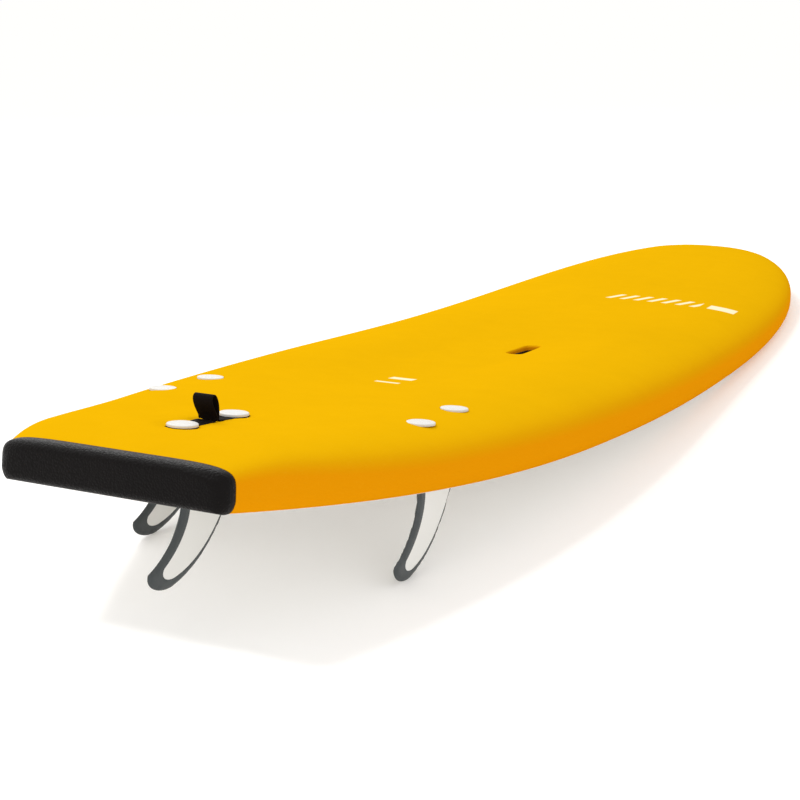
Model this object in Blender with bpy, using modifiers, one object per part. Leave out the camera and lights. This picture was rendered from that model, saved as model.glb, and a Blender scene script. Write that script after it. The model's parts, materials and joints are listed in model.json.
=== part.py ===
"""Soft-top surfboard with three screw-on fins, a carry slot and a webbing leash loop.

The board is modelled in its own board frame: the tail joint lies at y = 0, the nose points along +y,
x runs to starboard and z runs up from the lowest line of the bottom. The board frame is then tilted
and lowered so that the side fins and the belly stand on the floor, z = 0. All lengths are metres.
"""
import math

import bmesh
import bpy
from mathutils import Matrix, Vector

# ---------------------------------------------------------------- driving dimensions
BOARD_LENGTH = 2.476          # from the bumper joint to the nose tip
HALF_WIDTH = 0.301
WIDE_POINT = 1.355            # how far forward of the tail joint the board is widest
TAIL_HALF_WIDTH = 0.139
TAIL_POWER = 3.34             # fullness of the outline behind the wide point
NOSE_POWER_Y = 3.09           # fullness of the outline ahead of the wide point
NOSE_POWER_X = 2.31
TAIL_NORMAL_RAMP = 0.15       # stretch over which the rail sections turn square to the outline

NOSE_ROCKER = 0.141
NOSE_ROCKER_START = 0.884
NOSE_ROCKER_POWER = 2.25
TAIL_ROCKER = 0.0298
TAIL_ROCKER_START = 0.819
TAIL_ROCKER_POWER = 2.39

THICKNESS = 0.089
TAIL_THICKNESS = 0.060
NOSE_THICKNESS = 0.049
NOSE_THIN_POWER = 2.2
TAIL_ROLL = 0.0125            # how far the deck rolls down at the tail joint
TAIL_ROLL_LENGTH = 0.10
TAIL_ROLL_POWER = 2.5

RAIL_APEX = 0.229             # height of the widest rail line, as a share of the thickness
RAIL_ROUNDNESS = 3.46
TAIL_ROUNDNESS = 6.0          # the deck turns over more sharply at the tail joint
TAIL_ROUNDNESS_LENGTH = 0.30
RAIL_BAND = 0.080             # width of the rolled rail, measured in from the outline
CROWN_POWER = 3.5
CROWN_WIDTH = 0.22
CHINE_INSET = 0.018           # how far the rail tucks under, ahead of the middle and at the tail
TAIL_CHINE_INSET = 0.007
CHINE_FADE = 1.30
CHINE_BEVEL = (0.25, 0.12)    # share of the tuck, and share of thickness, half way down it
RAIL_STEPS = (0.002, 0.008, 0.020, 0.042, RAIL_BAND)

RECESS_DEPTH = 0.012          # shallow standing area sunk into the middle of the deck
RECESS_CENTRE = 0.93
RECESS_HALF_LENGTH = 0.58
RECESS_HALF_WIDTH = 0.19
RECESS_POWER = 2.6

SKIN = 0.005
SLICK = 0.0015
SLICK_PROUD = 0.0005
GAP = 0.0003
CORE_INSET = SKIN + GAP

STRINGER_OFFSET = 0.105
STRINGER_THICKNESS = 0.004

BUMPER_DEPTH = 0.020
BUMPER_STEPS = ((0.0, 0.0), (0.5, 0.0010), (0.84, 0.0042), (1.0, 0.0095))  # depth share, inset

SLOT_CENTRE = (0.045, 1.052)
SLOT_LENGTH = 0.106
SLOT_WIDTH = 0.024
SLOT_DEPTH = 0.041
SLOT_RIM_DROP = 0.008
SLOT_WALL = 0.002
SLOT_CLEARANCE = 0.0006

BOLT_SPACING = 0.108
CENTRE_FIN_Y = 0.173
SIDE_FIN_Y = 0.4065
SIDE_FIN_X = 0.176
SIDE_FIN_TOE = math.radians(1.7)

CAP_RADIUS = 0.0175
CAP_THICKNESS = 0.0034
CAP_BEVEL = 0.0008
CAP_POCKET_RADIUS = 0.0063
CAP_POCKET_DEPTH = 0.0026
SIDE_SEAT_DEPTH = 0.0018
CENTRE_SEAT_DEPTH = 0.0037
SEAT_CLEARANCE = 0.0005
CHANNEL_STEP = 0.0007         # the strap channel lies this much under the centre caps' wells

BOLT_HEAD_RADIUS = 0.0060
BOLT_HEAD_THICKNESS = 0.0022
BOLT_SHANK_RADIUS = 0.0030
BOLT_REACH = 0.0150           # length of shank inside the threaded insert
INSERT_INNER_RADIUS = 0.0033
INSERT_OUTER_RADIUS = 0.0043
INSERT_LENGTH = 0.0180
POST_INNER_RADIUS = 0.0046
POST_RADIUS = 0.0062
POST_LENGTH = 0.034
SLEEVE_INNER_RADIUS = 0.0066
SLEEVE_RADIUS = 0.0082
SLEEVE_BORE_RADIUS = 0.0085

FIN_PANEL_THICKNESS = 0.0060
FIN_RIM_THICKNESS = 0.0068
FIN_BASE_HEIGHT = 0.0060
FIN_BASE_WIDTH = 0.0112
FIN_BASE_ENDS = (-0.0620, 0.0662)     # along the root, forward positive
FIN_STANDOFF = 0.0011                 # between the board's bottom and the fin's root
CURVE_STEPS = 9

# Cubic outlines of a fin: (along the root, away from the board). The blade rakes towards the tail.
# The centre fin is the smallest.
FIN_LEADING = ((0.0655, -0.0065), (0.0490, -0.0450), (0.0140, -0.0980), (-0.0570, -0.1165))
FIN_TIP = ((-0.0570, -0.1165), (-0.0830, -0.1215), (-0.1125, -0.1110), (-0.1075, -0.0955))
FIN_TRAILING = ((-0.1075, -0.0955), (-0.0640, -0.0760), (-0.0370, -0.0360), (-0.0530, -0.0065))
PANEL_LEADING = ((0.0595, -0.0040), (0.0425, -0.0430), (0.0060, -0.0920), (-0.0560, -0.1055))
PANEL_TIP = ((-0.0560, -0.1055), (-0.0720, -0.1090), (-0.0880, -0.1020), (-0.0800, -0.0920))
PANEL_TRAILING = ((-0.0800, -0.0920), (-0.0450, -0.0700), (-0.0230, -0.0350), (-0.0370, -0.0040))
FIN_SIZE = {"centre": 0.955, "left": 0.985, "right": 0.985}
FIN_SHIFT = {"centre": -0.0050, "left": -0.0015, "right": -0.0015}    # blade along its root

STRAP_WIDTH = 0.024
STRAP_THICKNESS = 0.0016
STRAP_END = 0.0145            # strap beyond the bolt at each end
STRAP_HOLE_RADIUS = 0.0036
STRAP_CHANNEL_MARGIN = 0.0015
LOOP_HEIGHT = 0.030
LOOP_HALF_GAP = 0.0070
LOOP_LEAN = 0.0090             # how far the loop's top lies towards the tail
LOOP_LIFT = 0.0035            # hinge line of the loop above the channel floor
LOOP_FOOT = 0.0045            # half the gap in the strap where the loop stands

TAIL_ROWS = 14                # sections behind and ahead of the wide point
NOSE_ROWS = 12
TAIL_ROW_SPREAD = 1.4         # sections stand closer together near the tail joint
NOSE_ROW_SPREAD = 1.3         # and just ahead of the wide point
DECK_COLUMNS = 4
ROUND_SEGMENTS = 20
TUBE_SEGMENTS = 16

YELLOW = (0.90, 0.45, 0.004)
WHITE = (0.82, 0.81, 0.78)
BLACK = (0.015, 0.013, 0.012)
CHARCOAL = (0.045, 0.055, 0.058)
FOAM_WHITE = (0.90, 0.90, 0.88)
WOOD = (0.55, 0.36, 0.18)
STEEL = (0.62, 0.62, 0.62)
BRASS = (0.70, 0.52, 0.22)
CLEAR_GREY = (0.55, 0.56, 0.58)


# ---------------------------------------------------------------- board shape
def half_width(y):
    """Half the outline's width at y."""
    if y < WIDE_POINT:
        share = 1 - (1 - y / WIDE_POINT) ** TAIL_POWER
        return TAIL_HALF_WIDTH + (HALF_WIDTH - TAIL_HALF_WIDTH) * share
    t = min((y - WIDE_POINT) / (BOARD_LENGTH - WIDE_POINT), 1.0)
    return HALF_WIDTH * (1 - t ** NOSE_POWER_Y) ** (1 / NOSE_POWER_X)


def bottom_z(y):
    """Height of the rockered bottom."""
    nose = max((y - NOSE_ROCKER_START) / (BOARD_LENGTH - NOSE_ROCKER_START), 0.0)
    tail = max((TAIL_ROCKER_START - y) / TAIL_ROCKER_START, 0.0)
    return NOSE_ROCKER * nose ** NOSE_ROCKER_POWER + TAIL_ROCKER * tail ** TAIL_ROCKER_POWER


def thickness(y):
    """Full thickness of the board before the tail rolls down."""
    middle = BOARD_LENGTH / 2
    if y < middle:
        fall = (1 - y / middle) ** 2
        return THICKNESS - (THICKNESS - TAIL_THICKNESS) * fall
    fall = ((y - middle) / (BOARD_LENGTH - middle)) ** NOSE_THIN_POWER
    return THICKNESS - (THICKNESS - NOSE_THICKNESS) * fall


def tail_roll(y):
    """How far the deck has rolled down towards the tail joint."""
    return TAIL_ROLL * max(1 - y / TAIL_ROLL_LENGTH, 0.0) ** TAIL_ROLL_POWER


def recess(x, y):
    """Depth of the sunk standing area at a point of the deck."""
    across = (abs(x) / RECESS_HALF_WIDTH) ** RECESS_POWER
    along = (abs(y - RECESS_CENTRE) / RECESS_HALF_LENGTH) ** RECESS_POWER
    reach = (across + along) ** (1 / RECESS_POWER)
    share = max(1 - reach, 0.0)
    return RECESS_DEPTH * min(share * share * (3 - 2 * share) * 1.35, 1.0)


def roundness(y):
    """How squarely the deck turns over into the rail."""
    share = max(1 - y / TAIL_ROUNDNESS_LENGTH, 0.0) ** 2
    return RAIL_ROUNDNESS + (TAIL_ROUNDNESS - RAIL_ROUNDNESS) * share


def rail_share(inset, radius, y):
    """Height share of the rolled rail at an inset from the outline."""
    power = roundness(y)
    roll = 1 - (1 - min(inset / radius, 1.0)) ** power
    return RAIL_APEX + (1 - RAIL_APEX) * roll ** (1 / power)


def chine_inset(y):
    """How far the lower edge lies inside the outline. The edge is hard at the tail."""
    share = min(y / CHINE_FADE, 1.0)
    return TAIL_CHINE_INSET + (CHINE_INSET - TAIL_CHINE_INSET) * share * share * (3 - 2 * share)


def rail_radius(width):
    return min(max(width, TAIL_HALF_WIDTH), HALF_WIDTH)


def rail_path(width, y, offset):
    """Points (inset, height share) from the chine to the deck, moved inwards by the offset."""
    radius = rail_radius(width)
    height = thickness(y)
    tuck = chine_inset(y)
    path = [(tuck, 0.0), (tuck * CHINE_BEVEL[0], CHINE_BEVEL[1]), (0.0, RAIL_APEX)]
    path += [(inset, rail_share(inset, radius, y)) for inset in RAIL_STEPS]
    moved = []
    for index, (inset, share) in enumerate(path):
        before = path[max(index - 1, 0)]
        after = path[min(index + 1, len(path) - 1)]
        run = after[0] - before[0]
        rise = (after[1] - before[1]) * height
        scale = offset / math.hypot(run, rise)
        moved.append((inset + rise * scale, share - run * scale / height))
    if offset > 0:
        moved[0] = (tuck + offset * 0.1, 0.9 * offset / height)
    moved[-1] = (RAIL_BAND, path[-1][1] - offset / height)
    return moved


def outline_rows(tail_rows, nose_rows):
    """Outline points as (x, y, normal x, normal y), from the tail to the nose tip."""
    rows = []
    for index in range(tail_rows):
        y = WIDE_POINT * (index / tail_rows) ** TAIL_ROW_SPREAD
        step = 0.001
        slope = (half_width(y + step) - half_width(y)) / step
        slope *= min(y / TAIL_NORMAL_RAMP, 1.0)
        size = math.hypot(1, slope)
        rows.append((half_width(y), y, 1 / size, -slope / size))
    for index in range(nose_rows + 1):
        turn = math.pi / 2 * (index / nose_rows) ** NOSE_ROW_SPREAD
        across = math.cos(turn) ** (2 / NOSE_POWER_X) if index < nose_rows else 0.0
        along = math.sin(turn) ** (2 / NOSE_POWER_Y)
        normal_x = NOSE_POWER_X * across ** (NOSE_POWER_X - 1) / HALF_WIDTH
        normal_y = NOSE_POWER_Y * along ** (NOSE_POWER_Y - 1) / (BOARD_LENGTH - WIDE_POINT)
        size = math.hypot(normal_x, normal_y)
        y = WIDE_POINT + along * (BOARD_LENGTH - WIDE_POINT)
        rows.append((across * HALF_WIDTH, y, normal_x / size, normal_y / size))
    return rows


def deck_row(row, offset, columns):
    """Half a deck section, from the chine to the centre line, moved inwards by the offset."""
    x0, y0, normal_x, normal_y = row
    points = []
    for inset, share in rail_path(x0, y0, offset):
        x = max(x0 - normal_x * inset, 0.0)
        y = y0 - normal_y * inset
        drop = tail_roll(y) * min(max((share - RAIL_APEX) / (1 - RAIL_APEX), 0.0), 1.0)
        points.append(Vector((x, y, bottom_z(y) + share * thickness(y) - drop - recess(x, y))))
    edge = points[-1]
    crown_gain = (1 - rail_share(RAIL_BAND, rail_radius(x0), y0)) * min(edge.x / CROWN_WIDTH, 1.0)
    for index in range(1, columns + 1):
        across = 1 - index / columns
        x = edge.x * across
        height = share + crown_gain * (1 - across ** CROWN_POWER)
        z = bottom_z(edge.y) + height * thickness(edge.y) - tail_roll(edge.y) - recess(x, edge.y)
        points.append(Vector((x, edge.y, z)))
    return points


def deck_z(x, y):
    """Height of the finished deck over a point inside the rails."""
    width = half_width(y)
    radius = rail_radius(width)
    edge = width - RAIL_BAND
    if abs(x) > edge:
        share = rail_share(width - abs(x), radius, y)
    else:
        rail = rail_share(RAIL_BAND, radius, y)
        crown = (1 - rail) * min(edge / CROWN_WIDTH, 1.0)
        share = rail + crown * (1 - (abs(x) / edge) ** CROWN_POWER)
    return bottom_z(y) + share * thickness(y) - tail_roll(y) - recess(x, y)


def mirrored(half):
    """A whole section from a half one that ends on the centre line."""
    return [Vector(point) for point in half] + [
        Vector((-point.x, point.y, point.z)) for point in reversed(half[:-1])]



# ---------------------------------------------------------------- mesh helpers
def make_collection(name):
    collection = bpy.data.collections.new(name)
    bpy.context.scene.collection.children.link(collection)
    return collection


def make_material(name, colour, roughness, metallic=0.0):
    material = bpy.data.materials.new(name)
    material.use_nodes = True
    shader = material.node_tree.nodes["Principled BSDF"]
    shader.inputs["Base Color"].default_value = (*colour, 1.0)
    shader.inputs["Roughness"].default_value = roughness
    shader.inputs["Metallic"].default_value = metallic
    return material


class Workshop:
    """Keeps the collections and the board frame that every piece is placed in."""

    def __init__(self):
        self.parts = make_collection("surfboard")
        self.cutters = make_collection("cutters")
        self.frame = bpy.data.objects.new("board_frame", None)
        self.parts.objects.link(self.frame)

    def place(self, name, mesh, collection, location=(0, 0, 0), rotation=(0, 0, 0)):
        item = bpy.data.objects.new(name, mesh)
        collection.objects.link(item)
        item.parent = self.frame
        item.location = location
        item.rotation_euler = rotation
        return item

    def part(self, name, mesh, finish, location=(0, 0, 0), rotation=(0, 0, 0)):
        colour, roughness, metallic = finish
        mesh.materials.clear()
        mesh.materials.append(make_material(name, colour, roughness, metallic))
        return self.place(name, mesh, self.parts, location, rotation)

    def cutter(self, name, mesh, location=(0, 0, 0), rotation=(0, 0, 0)):
        item = self.place(name, mesh, self.cutters, location, rotation)
        item.hide_render = True
        item.display_type = "WIRE"
        return item


def combine(item, tool, operation):
    modifier = item.modifiers.new(tool.name, "BOOLEAN")
    modifier.operation = operation
    modifier.solver = "EXACT"
    modifier.object = tool


def loft(name, rings, pointed=False):
    """A closed solid through rings of points. A pointed one ends in a ring folded flat on x = 0,
    which needs no cap. Each four-sided field is split on the diagonal that starts nearer to the
    centre line, so that lofts lying on each other keep the same facets."""
    form = bmesh.new()
    grid = [[form.verts.new(point) for point in ring] for ring in rings]
    for lower, upper in zip(grid, grid[1:]):
        count = len(lower)
        for index in range(count):
            after = (index + 1) % count
            corners = [lower[index], lower[after], upper[after], upper[index]]
            if abs(lower[index].co.x) > abs(lower[after].co.x):
                corners = corners[1:] + corners[:1]
            form.faces.new((corners[0], corners[1], corners[2]))
            form.faces.new((corners[0], corners[2], corners[3]))
    form.faces.new(list(reversed(grid[0])))
    if not pointed:
        form.faces.new(grid[-1])
    return finish_form(name, form)


def finish_form(name, form):
    bmesh.ops.remove_doubles(form, verts=form.verts, dist=0.00001)
    bmesh.ops.dissolve_degenerate(form, edges=form.edges, dist=0.00001)
    bmesh.ops.recalc_face_normals(form, faces=form.faces)
    mesh = bpy.data.meshes.new(name)
    form.to_mesh(mesh)
    form.free()
    return mesh


def turned(name, profile, segments):
    """A turned solid. The profile runs from the top on the axis, down the outer side, to the axis."""
    mesh = bpy.data.meshes.new(name)
    points = [(radius, 0, height) for radius, height in profile]
    edges = [(index, index + 1) for index in range(len(points) - 1)]
    if profile[0][0] > 0 and profile[-1][0] > 0:
        edges.append((len(points) - 1, 0))
    mesh.from_pydata(points, edges, [])
    source = bpy.data.objects.new(name + "_profile", mesh)
    bpy.context.scene.collection.objects.link(source)
    screw = source.modifiers.new("turn", "SCREW")
    screw.steps = segments
    screw.render_steps = segments
    screw.use_merge_vertices = True
    screw.merge_threshold = 0.00001
    result = evaluated_mesh(source, name)
    bpy.data.objects.remove(source)
    bpy.data.meshes.remove(mesh)
    form = bmesh.new()
    form.from_mesh(result)
    bmesh.ops.recalc_face_normals(form, faces=form.faces)
    form.to_mesh(result)
    form.free()
    result.shade_smooth()
    result.set_sharp_from_angle(angle=math.radians(35))
    return result


def evaluated_mesh(source, name):
    graph = bpy.context.evaluated_depsgraph_get()
    mesh = bpy.data.meshes.new_from_object(source.evaluated_get(graph))
    mesh.name = name
    return mesh


def plate(name, outline, depth, holes=()):
    """A flat outline in the x-y plane, extruded by depth about its middle."""
    curve = bpy.data.curves.new(name, "CURVE")
    curve.dimensions = "2D"
    curve.fill_mode = "BOTH"
    curve.extrude = depth / 2
    for points in (outline, *holes):
        spline = curve.splines.new("POLY")
        spline.points.add(len(points) - 1)
        for slot, (x, y) in zip(spline.points, points):
            slot.co = (x, y, 0, 1)
        spline.use_cyclic_u = True
    source = bpy.data.objects.new(name + "_outline", curve)
    bpy.context.scene.collection.objects.link(source)
    mesh = evaluated_mesh(source, name)
    bpy.data.objects.remove(source)
    bpy.data.curves.remove(curve)
    form = bmesh.new()
    form.from_mesh(mesh)
    bmesh.ops.remove_doubles(form, verts=form.verts, dist=0.00001)
    bmesh.ops.recalc_face_normals(form, faces=form.faces)
    form.to_mesh(mesh)
    form.free()
    return mesh


def box(name, size, centre=(0, 0, 0)):
    form = bmesh.new()
    bmesh.ops.create_cube(form, size=1.0)
    bmesh.ops.scale(form, vec=size, verts=form.verts)
    bmesh.ops.translate(form, vec=centre, verts=form.verts)
    mesh = bpy.data.meshes.new(name)
    form.to_mesh(mesh)
    form.free()
    return mesh


def cylinder(name, radius, low, high, segments=TUBE_SEGMENTS):
    return turned(name, [(0, high), (radius, high), (radius, low), (0, low)], segments)


def tube(name, inner, outer, low, high, segments=TUBE_SEGMENTS):
    return turned(name, [(inner, high), (outer, high), (outer, low), (inner, low)], segments)


def cubic(points, steps):
    """Points along a cubic curve, without its last point."""
    a, b, c, d = (Vector(point) for point in points)
    result = []
    for index in range(steps):
        t = index / steps
        s = 1 - t
        point = a * s ** 3 + b * 3 * s * s * t + c * 3 * s * t * t + d * t ** 3
        result.append((point.x, point.y))
    return result


def stadium(length, width, arc_steps=6):
    """An outline with straight sides along y and round ends."""
    radius = width / 2
    straight = length / 2 - radius
    points = []
    for end, start in ((1, 0.0), (-1, math.pi)):
        for index in range(arc_steps + 1):
            turn = start + math.pi * index / arc_steps
            points.append((radius * math.cos(turn), end * straight + radius * math.sin(turn)))
    return points


# ---------------------------------------------------------------- the blank, its skins and bumper
def skin_mesh():
    """The foam skin: outer and inner surfaces from chine to chine, closed along both rims."""
    rings = []
    for row in outline_rows(TAIL_ROWS, NOSE_ROWS):
        outer = mirrored(deck_row(row, 0.0, DECK_COLUMNS))
        inner = mirrored(deck_row(row, SKIN, DECK_COLUMNS))
        rings.append(outer + list(reversed(inner)))
    return loft("deck_skin", rings, pointed=True)


def core_ring(row):
    """A section of the blank: its deck side, and a flat bottom over the slick."""
    ring = mirrored(deck_row(row, CORE_INSET, DECK_COLUMNS))
    x0, y0, normal_x, normal_y = row
    inset = chine_inset(y0) + CORE_INSET * 0.1
    edge_x = max(x0 - normal_x * inset, 0.0)
    edge_y = y0 - normal_y * inset
    floor = bottom_z(edge_y) + SLICK + 2 * GAP - SLICK_PROUD
    ring += [Vector((side * edge_x, edge_y, floor)) for side in (-1, -0.5, 0, 0.5, 1)]
    return ring


def core_mesh():
    rings = [core_ring(row) for row in outline_rows(TAIL_ROWS, NOSE_ROWS)]
    return loft("core", rings, pointed=True)


def slice_mesh(name, whole, low, high):
    """The part of a mesh between two planes across x, closed where it is cut."""
    form = bmesh.new()
    form.from_mesh(whole)
    for place, direction in ((low, -1), (high, 1)):
        if place is None:
            continue
        everything = form.verts[:] + form.edges[:] + form.faces[:]
        cut = bmesh.ops.bisect_plane(
            form, geom=everything, plane_co=(place, 0, 0), plane_no=(direction, 0, 0),
            clear_outer=True, dist=0.000001)
        edges = [item for item in cut["geom_cut"] if isinstance(item, bmesh.types.BMEdge)]
        bmesh.ops.triangle_fill(form, edges=edges, use_beauty=True)
    return finish_form(name, form)


def slick_mesh():
    """The hard bottom sheet, flat across and rockered along."""
    rings = []
    for x0, y0, normal_x, normal_y in outline_rows(TAIL_ROWS, NOSE_ROWS):
        inset = chine_inset(y0) + 2 * GAP
        edge_x = max(x0 - normal_x * inset, 0.0)
        edge_y = y0 - normal_y * inset
        low = bottom_z(edge_y) - SLICK_PROUD
        lower = [Vector((side * edge_x, edge_y, low)) for side in (-1, 0, 1)]
        upper = [Vector((side * edge_x, edge_y, low + SLICK)) for side in (1, 0, -1)]
        rings.append(lower + upper)
    return loft("bottom_slick", rings, pointed=True)


def bumper_mesh():
    """The tail block: the tail section carried back, with its edges rounded over."""
    row = outline_rows(TAIL_ROWS, NOSE_ROWS)[0]
    rings = []
    for depth, inset in BUMPER_STEPS:
        section = mirrored(deck_row(row, inset, DECK_COLUMNS))
        floor = bottom_z(0) + inset
        half = section[0].x
        section += [Vector((side * half, 0, floor)) for side in (-1, 1)] if inset > 0 else []
        if inset == 0:
            section += [Vector((-half * 0.5, 0, floor)), Vector((half * 0.5, 0, floor))]
        for point in section:
            point.y = -GAP - depth * BUMPER_DEPTH
        rings.append(section)
    return loft("tail_bumper", rings)


def build_blank(shop):
    whole = core_mesh()
    near = STRINGER_OFFSET - STRINGER_THICKNESS / 2
    far = STRINGER_OFFSET + STRINGER_THICKNESS / 2
    foam = (FOAM_WHITE, 0.9, 0.0)
    wood = (WOOD, 0.6, 0.0)
    slices = (
        ("core_left", None, -far - GAP, foam),
        ("stringer_left", -far, -near, wood),
        ("core_centre", -near + GAP, near - GAP, foam),
        ("stringer_right", near, far, wood),
        ("core_right", far + GAP, None, foam),
    )
    pieces = {}
    for name, low, high, finish in slices:
        pieces[name] = shop.part(name, slice_mesh(name, whole, low, high), finish)
    bpy.data.meshes.remove(whole)
    pieces["deck_skin"] = shop.part("deck_skin", skin_mesh(), (YELLOW, 0.55, 0.0))
    pieces["bottom_slick"] = shop.part("bottom_slick", slick_mesh(), (WHITE, 0.35, 0.0))
    pieces["tail_bumper"] = shop.part("tail_bumper", bumper_mesh(), (BLACK, 0.7, 0.0))
    return pieces


# ---------------------------------------------------------------- carry slot
def build_slot(shop, pieces):
    """A hand slot: a black cup let into the deck beside the centre line."""
    x, y = SLOT_CENTRE
    top = deck_z(x, y) - SLOT_RIM_DROP
    low = top - SLOT_DEPTH
    outer = plate("carry_slot_cup", stadium(SLOT_LENGTH, SLOT_WIDTH), SLOT_DEPTH)
    cup = shop.part("carry_slot_cup", outer, (BLACK, 0.5, 0.0), (x, y, (top + low) / 2))
    hollow = plate("slot_hollow", stadium(SLOT_LENGTH - 2 * SLOT_WALL, SLOT_WIDTH - 2 * SLOT_WALL),
                   SLOT_DEPTH)
    combine(cup, shop.cutter("slot_hollow", hollow, (x, y, (top + low) / 2 + SLOT_WALL)), "DIFFERENCE")
    pocket = plate("slot_pocket", stadium(SLOT_LENGTH + 2 * SLOT_CLEARANCE, SLOT_WIDTH + 2 * SLOT_CLEARANCE),
                   SLOT_DEPTH * 2)
    pocket = shop.cutter("slot_pocket", pocket, (x, y, low - 2 * GAP + SLOT_DEPTH))
    for name in ("deck_skin", "core_centre"):
        combine(pieces[name], pocket, "DIFFERENCE")


# ---------------------------------------------------------------- fins and their bolts
def fin_stations():
    """Name, root centre and toe of each fin."""
    return (
        ("centre", 0.0, CENTRE_FIN_Y, 0.0),
        ("left", -SIDE_FIN_X, SIDE_FIN_Y, -SIDE_FIN_TOE),
        ("right", SIDE_FIN_X, SIDE_FIN_Y, SIDE_FIN_TOE),
    )


def bolt_places(x, y, toe):
    """Rear and front bolt positions of a fin. Side fins point slightly inwards at the nose end."""
    run = BOLT_SPACING / 2
    across = math.sin(toe) * run
    along = math.cos(toe) * run
    return (("rear", x + across, y - along), ("front", x - across, y + along))


def seat_depth(fin):
    return CENTRE_SEAT_DEPTH if fin == "centre" else SIDE_SEAT_DEPTH


def fin_outline(curves, fin):
    """A fin's outline from its cubic curves, at that fin's size and place along the root."""
    points = []
    for curve in curves:
        points += cubic(curve, CURVE_STEPS)
    points.append(curves[-1][-1])
    root = points[0][1]
    size = FIN_SIZE[fin]
    return [(along * size + FIN_SHIFT[fin], root + (away - root) * size) for along, away in points]


def fin_blade(name, outline, depth):
    """A blade standing under its root line, in the plane of the root and the fin's depth."""
    mesh = plate(name, outline, depth)
    mesh.transform(Matrix(((0, 0, 1, 0), (1, 0, 0, 0), (0, 1, 0, 0), (0, 0, 0, 1))))
    return mesh


def root_height(y):
    return bottom_z(y) - SLICK_PROUD - FIN_STANDOFF


def root_slope():
    """The fin roots follow the tail rocker. Rear to front bolt, as an angle about x."""
    return {fin: math.atan2(bottom_z(y + BOLT_SPACING / 2) - bottom_z(y - BOLT_SPACING / 2),
                            BOLT_SPACING) for fin, _, y, _ in fin_stations()}


def build_fin(shop, fin, x, y, toe):
    slope = root_slope()[fin]
    place = (x, y, root_height(y))
    turn = (slope, 0.0, toe)
    panel_outline = fin_outline((PANEL_LEADING, PANEL_TIP, PANEL_TRAILING), fin)
    rim_outline = fin_outline((FIN_LEADING, FIN_TIP, FIN_TRAILING), fin)
    panel_name = f"fin_{fin}_panel"
    panel = shop.part(panel_name, fin_blade(panel_name, panel_outline, FIN_PANEL_THICKNESS),
                      (WHITE, 0.35, 0.0), place, turn)
    rear_end, front_end = FIN_BASE_ENDS
    base = box("fin_base", (FIN_BASE_WIDTH, front_end - rear_end, FIN_BASE_HEIGHT),
               (0, (front_end + rear_end) / 2, -FIN_BASE_HEIGHT / 2))
    combine(panel, shop.cutter(f"{fin}_fin_base", base, place, turn), "UNION")
    for end, bolt_x, bolt_y in bolt_places(x, y, toe):
        top = bottom_z(bolt_y) + POST_LENGTH
        low = root_height(y) - FIN_BASE_HEIGHT / 2
        bore_low = top - INSERT_LENGTH - GAP
        profile = [(0, bore_low), (POST_INNER_RADIUS, bore_low), (POST_INNER_RADIUS, top),
                   (POST_RADIUS, top), (POST_RADIUS, low), (0, low)]
        post = turned("post", profile, TUBE_SEGMENTS)
        combine(panel, shop.cutter(f"{fin}_{end}_post", post, (bolt_x, bolt_y, 0)), "UNION")
        insert_name = f"fin_{fin}_insert_{end}"
        insert = tube(insert_name, INSERT_INNER_RADIUS, INSERT_OUTER_RADIUS, -INSERT_LENGTH, 0)
        shop.part(insert_name, insert, (BRASS, 0.3, 1.0), (bolt_x, bolt_y, top))

    rim_name = f"fin_{fin}_rim"
    rim = shop.part(rim_name, fin_blade(rim_name, rim_outline, FIN_RIM_THICKNESS),
                    (CHARCOAL, 0.6, 0.0), place, turn)
    window = fin_blade("window", window_outline(fin), FIN_RIM_THICKNESS * 2)
    combine(rim, shop.cutter(f"{fin}_rim_window", window, place, turn), "DIFFERENCE")


def window_outline(fin):
    """The rim's opening: the panel's outline grown by the gap, and carried past the rim's root."""
    grown = []
    outline = fin_outline((PANEL_LEADING, PANEL_TIP, PANEL_TRAILING), fin)
    count = len(outline)
    for index, (along, away) in enumerate(outline):
        before = outline[max(index - 1, 0)]
        after = outline[min(index + 1, count - 1)]
        run = after[0] - before[0]
        rise = after[1] - before[1]
        size = math.hypot(run, rise)
        grown.append((along - rise / size * GAP, away + run / size * GAP))
    first = grown[0]
    last = grown[-1]
    return [(first[0], first[1] + 0.01)] + grown + [(last[0], last[1] + 0.01)]


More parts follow.
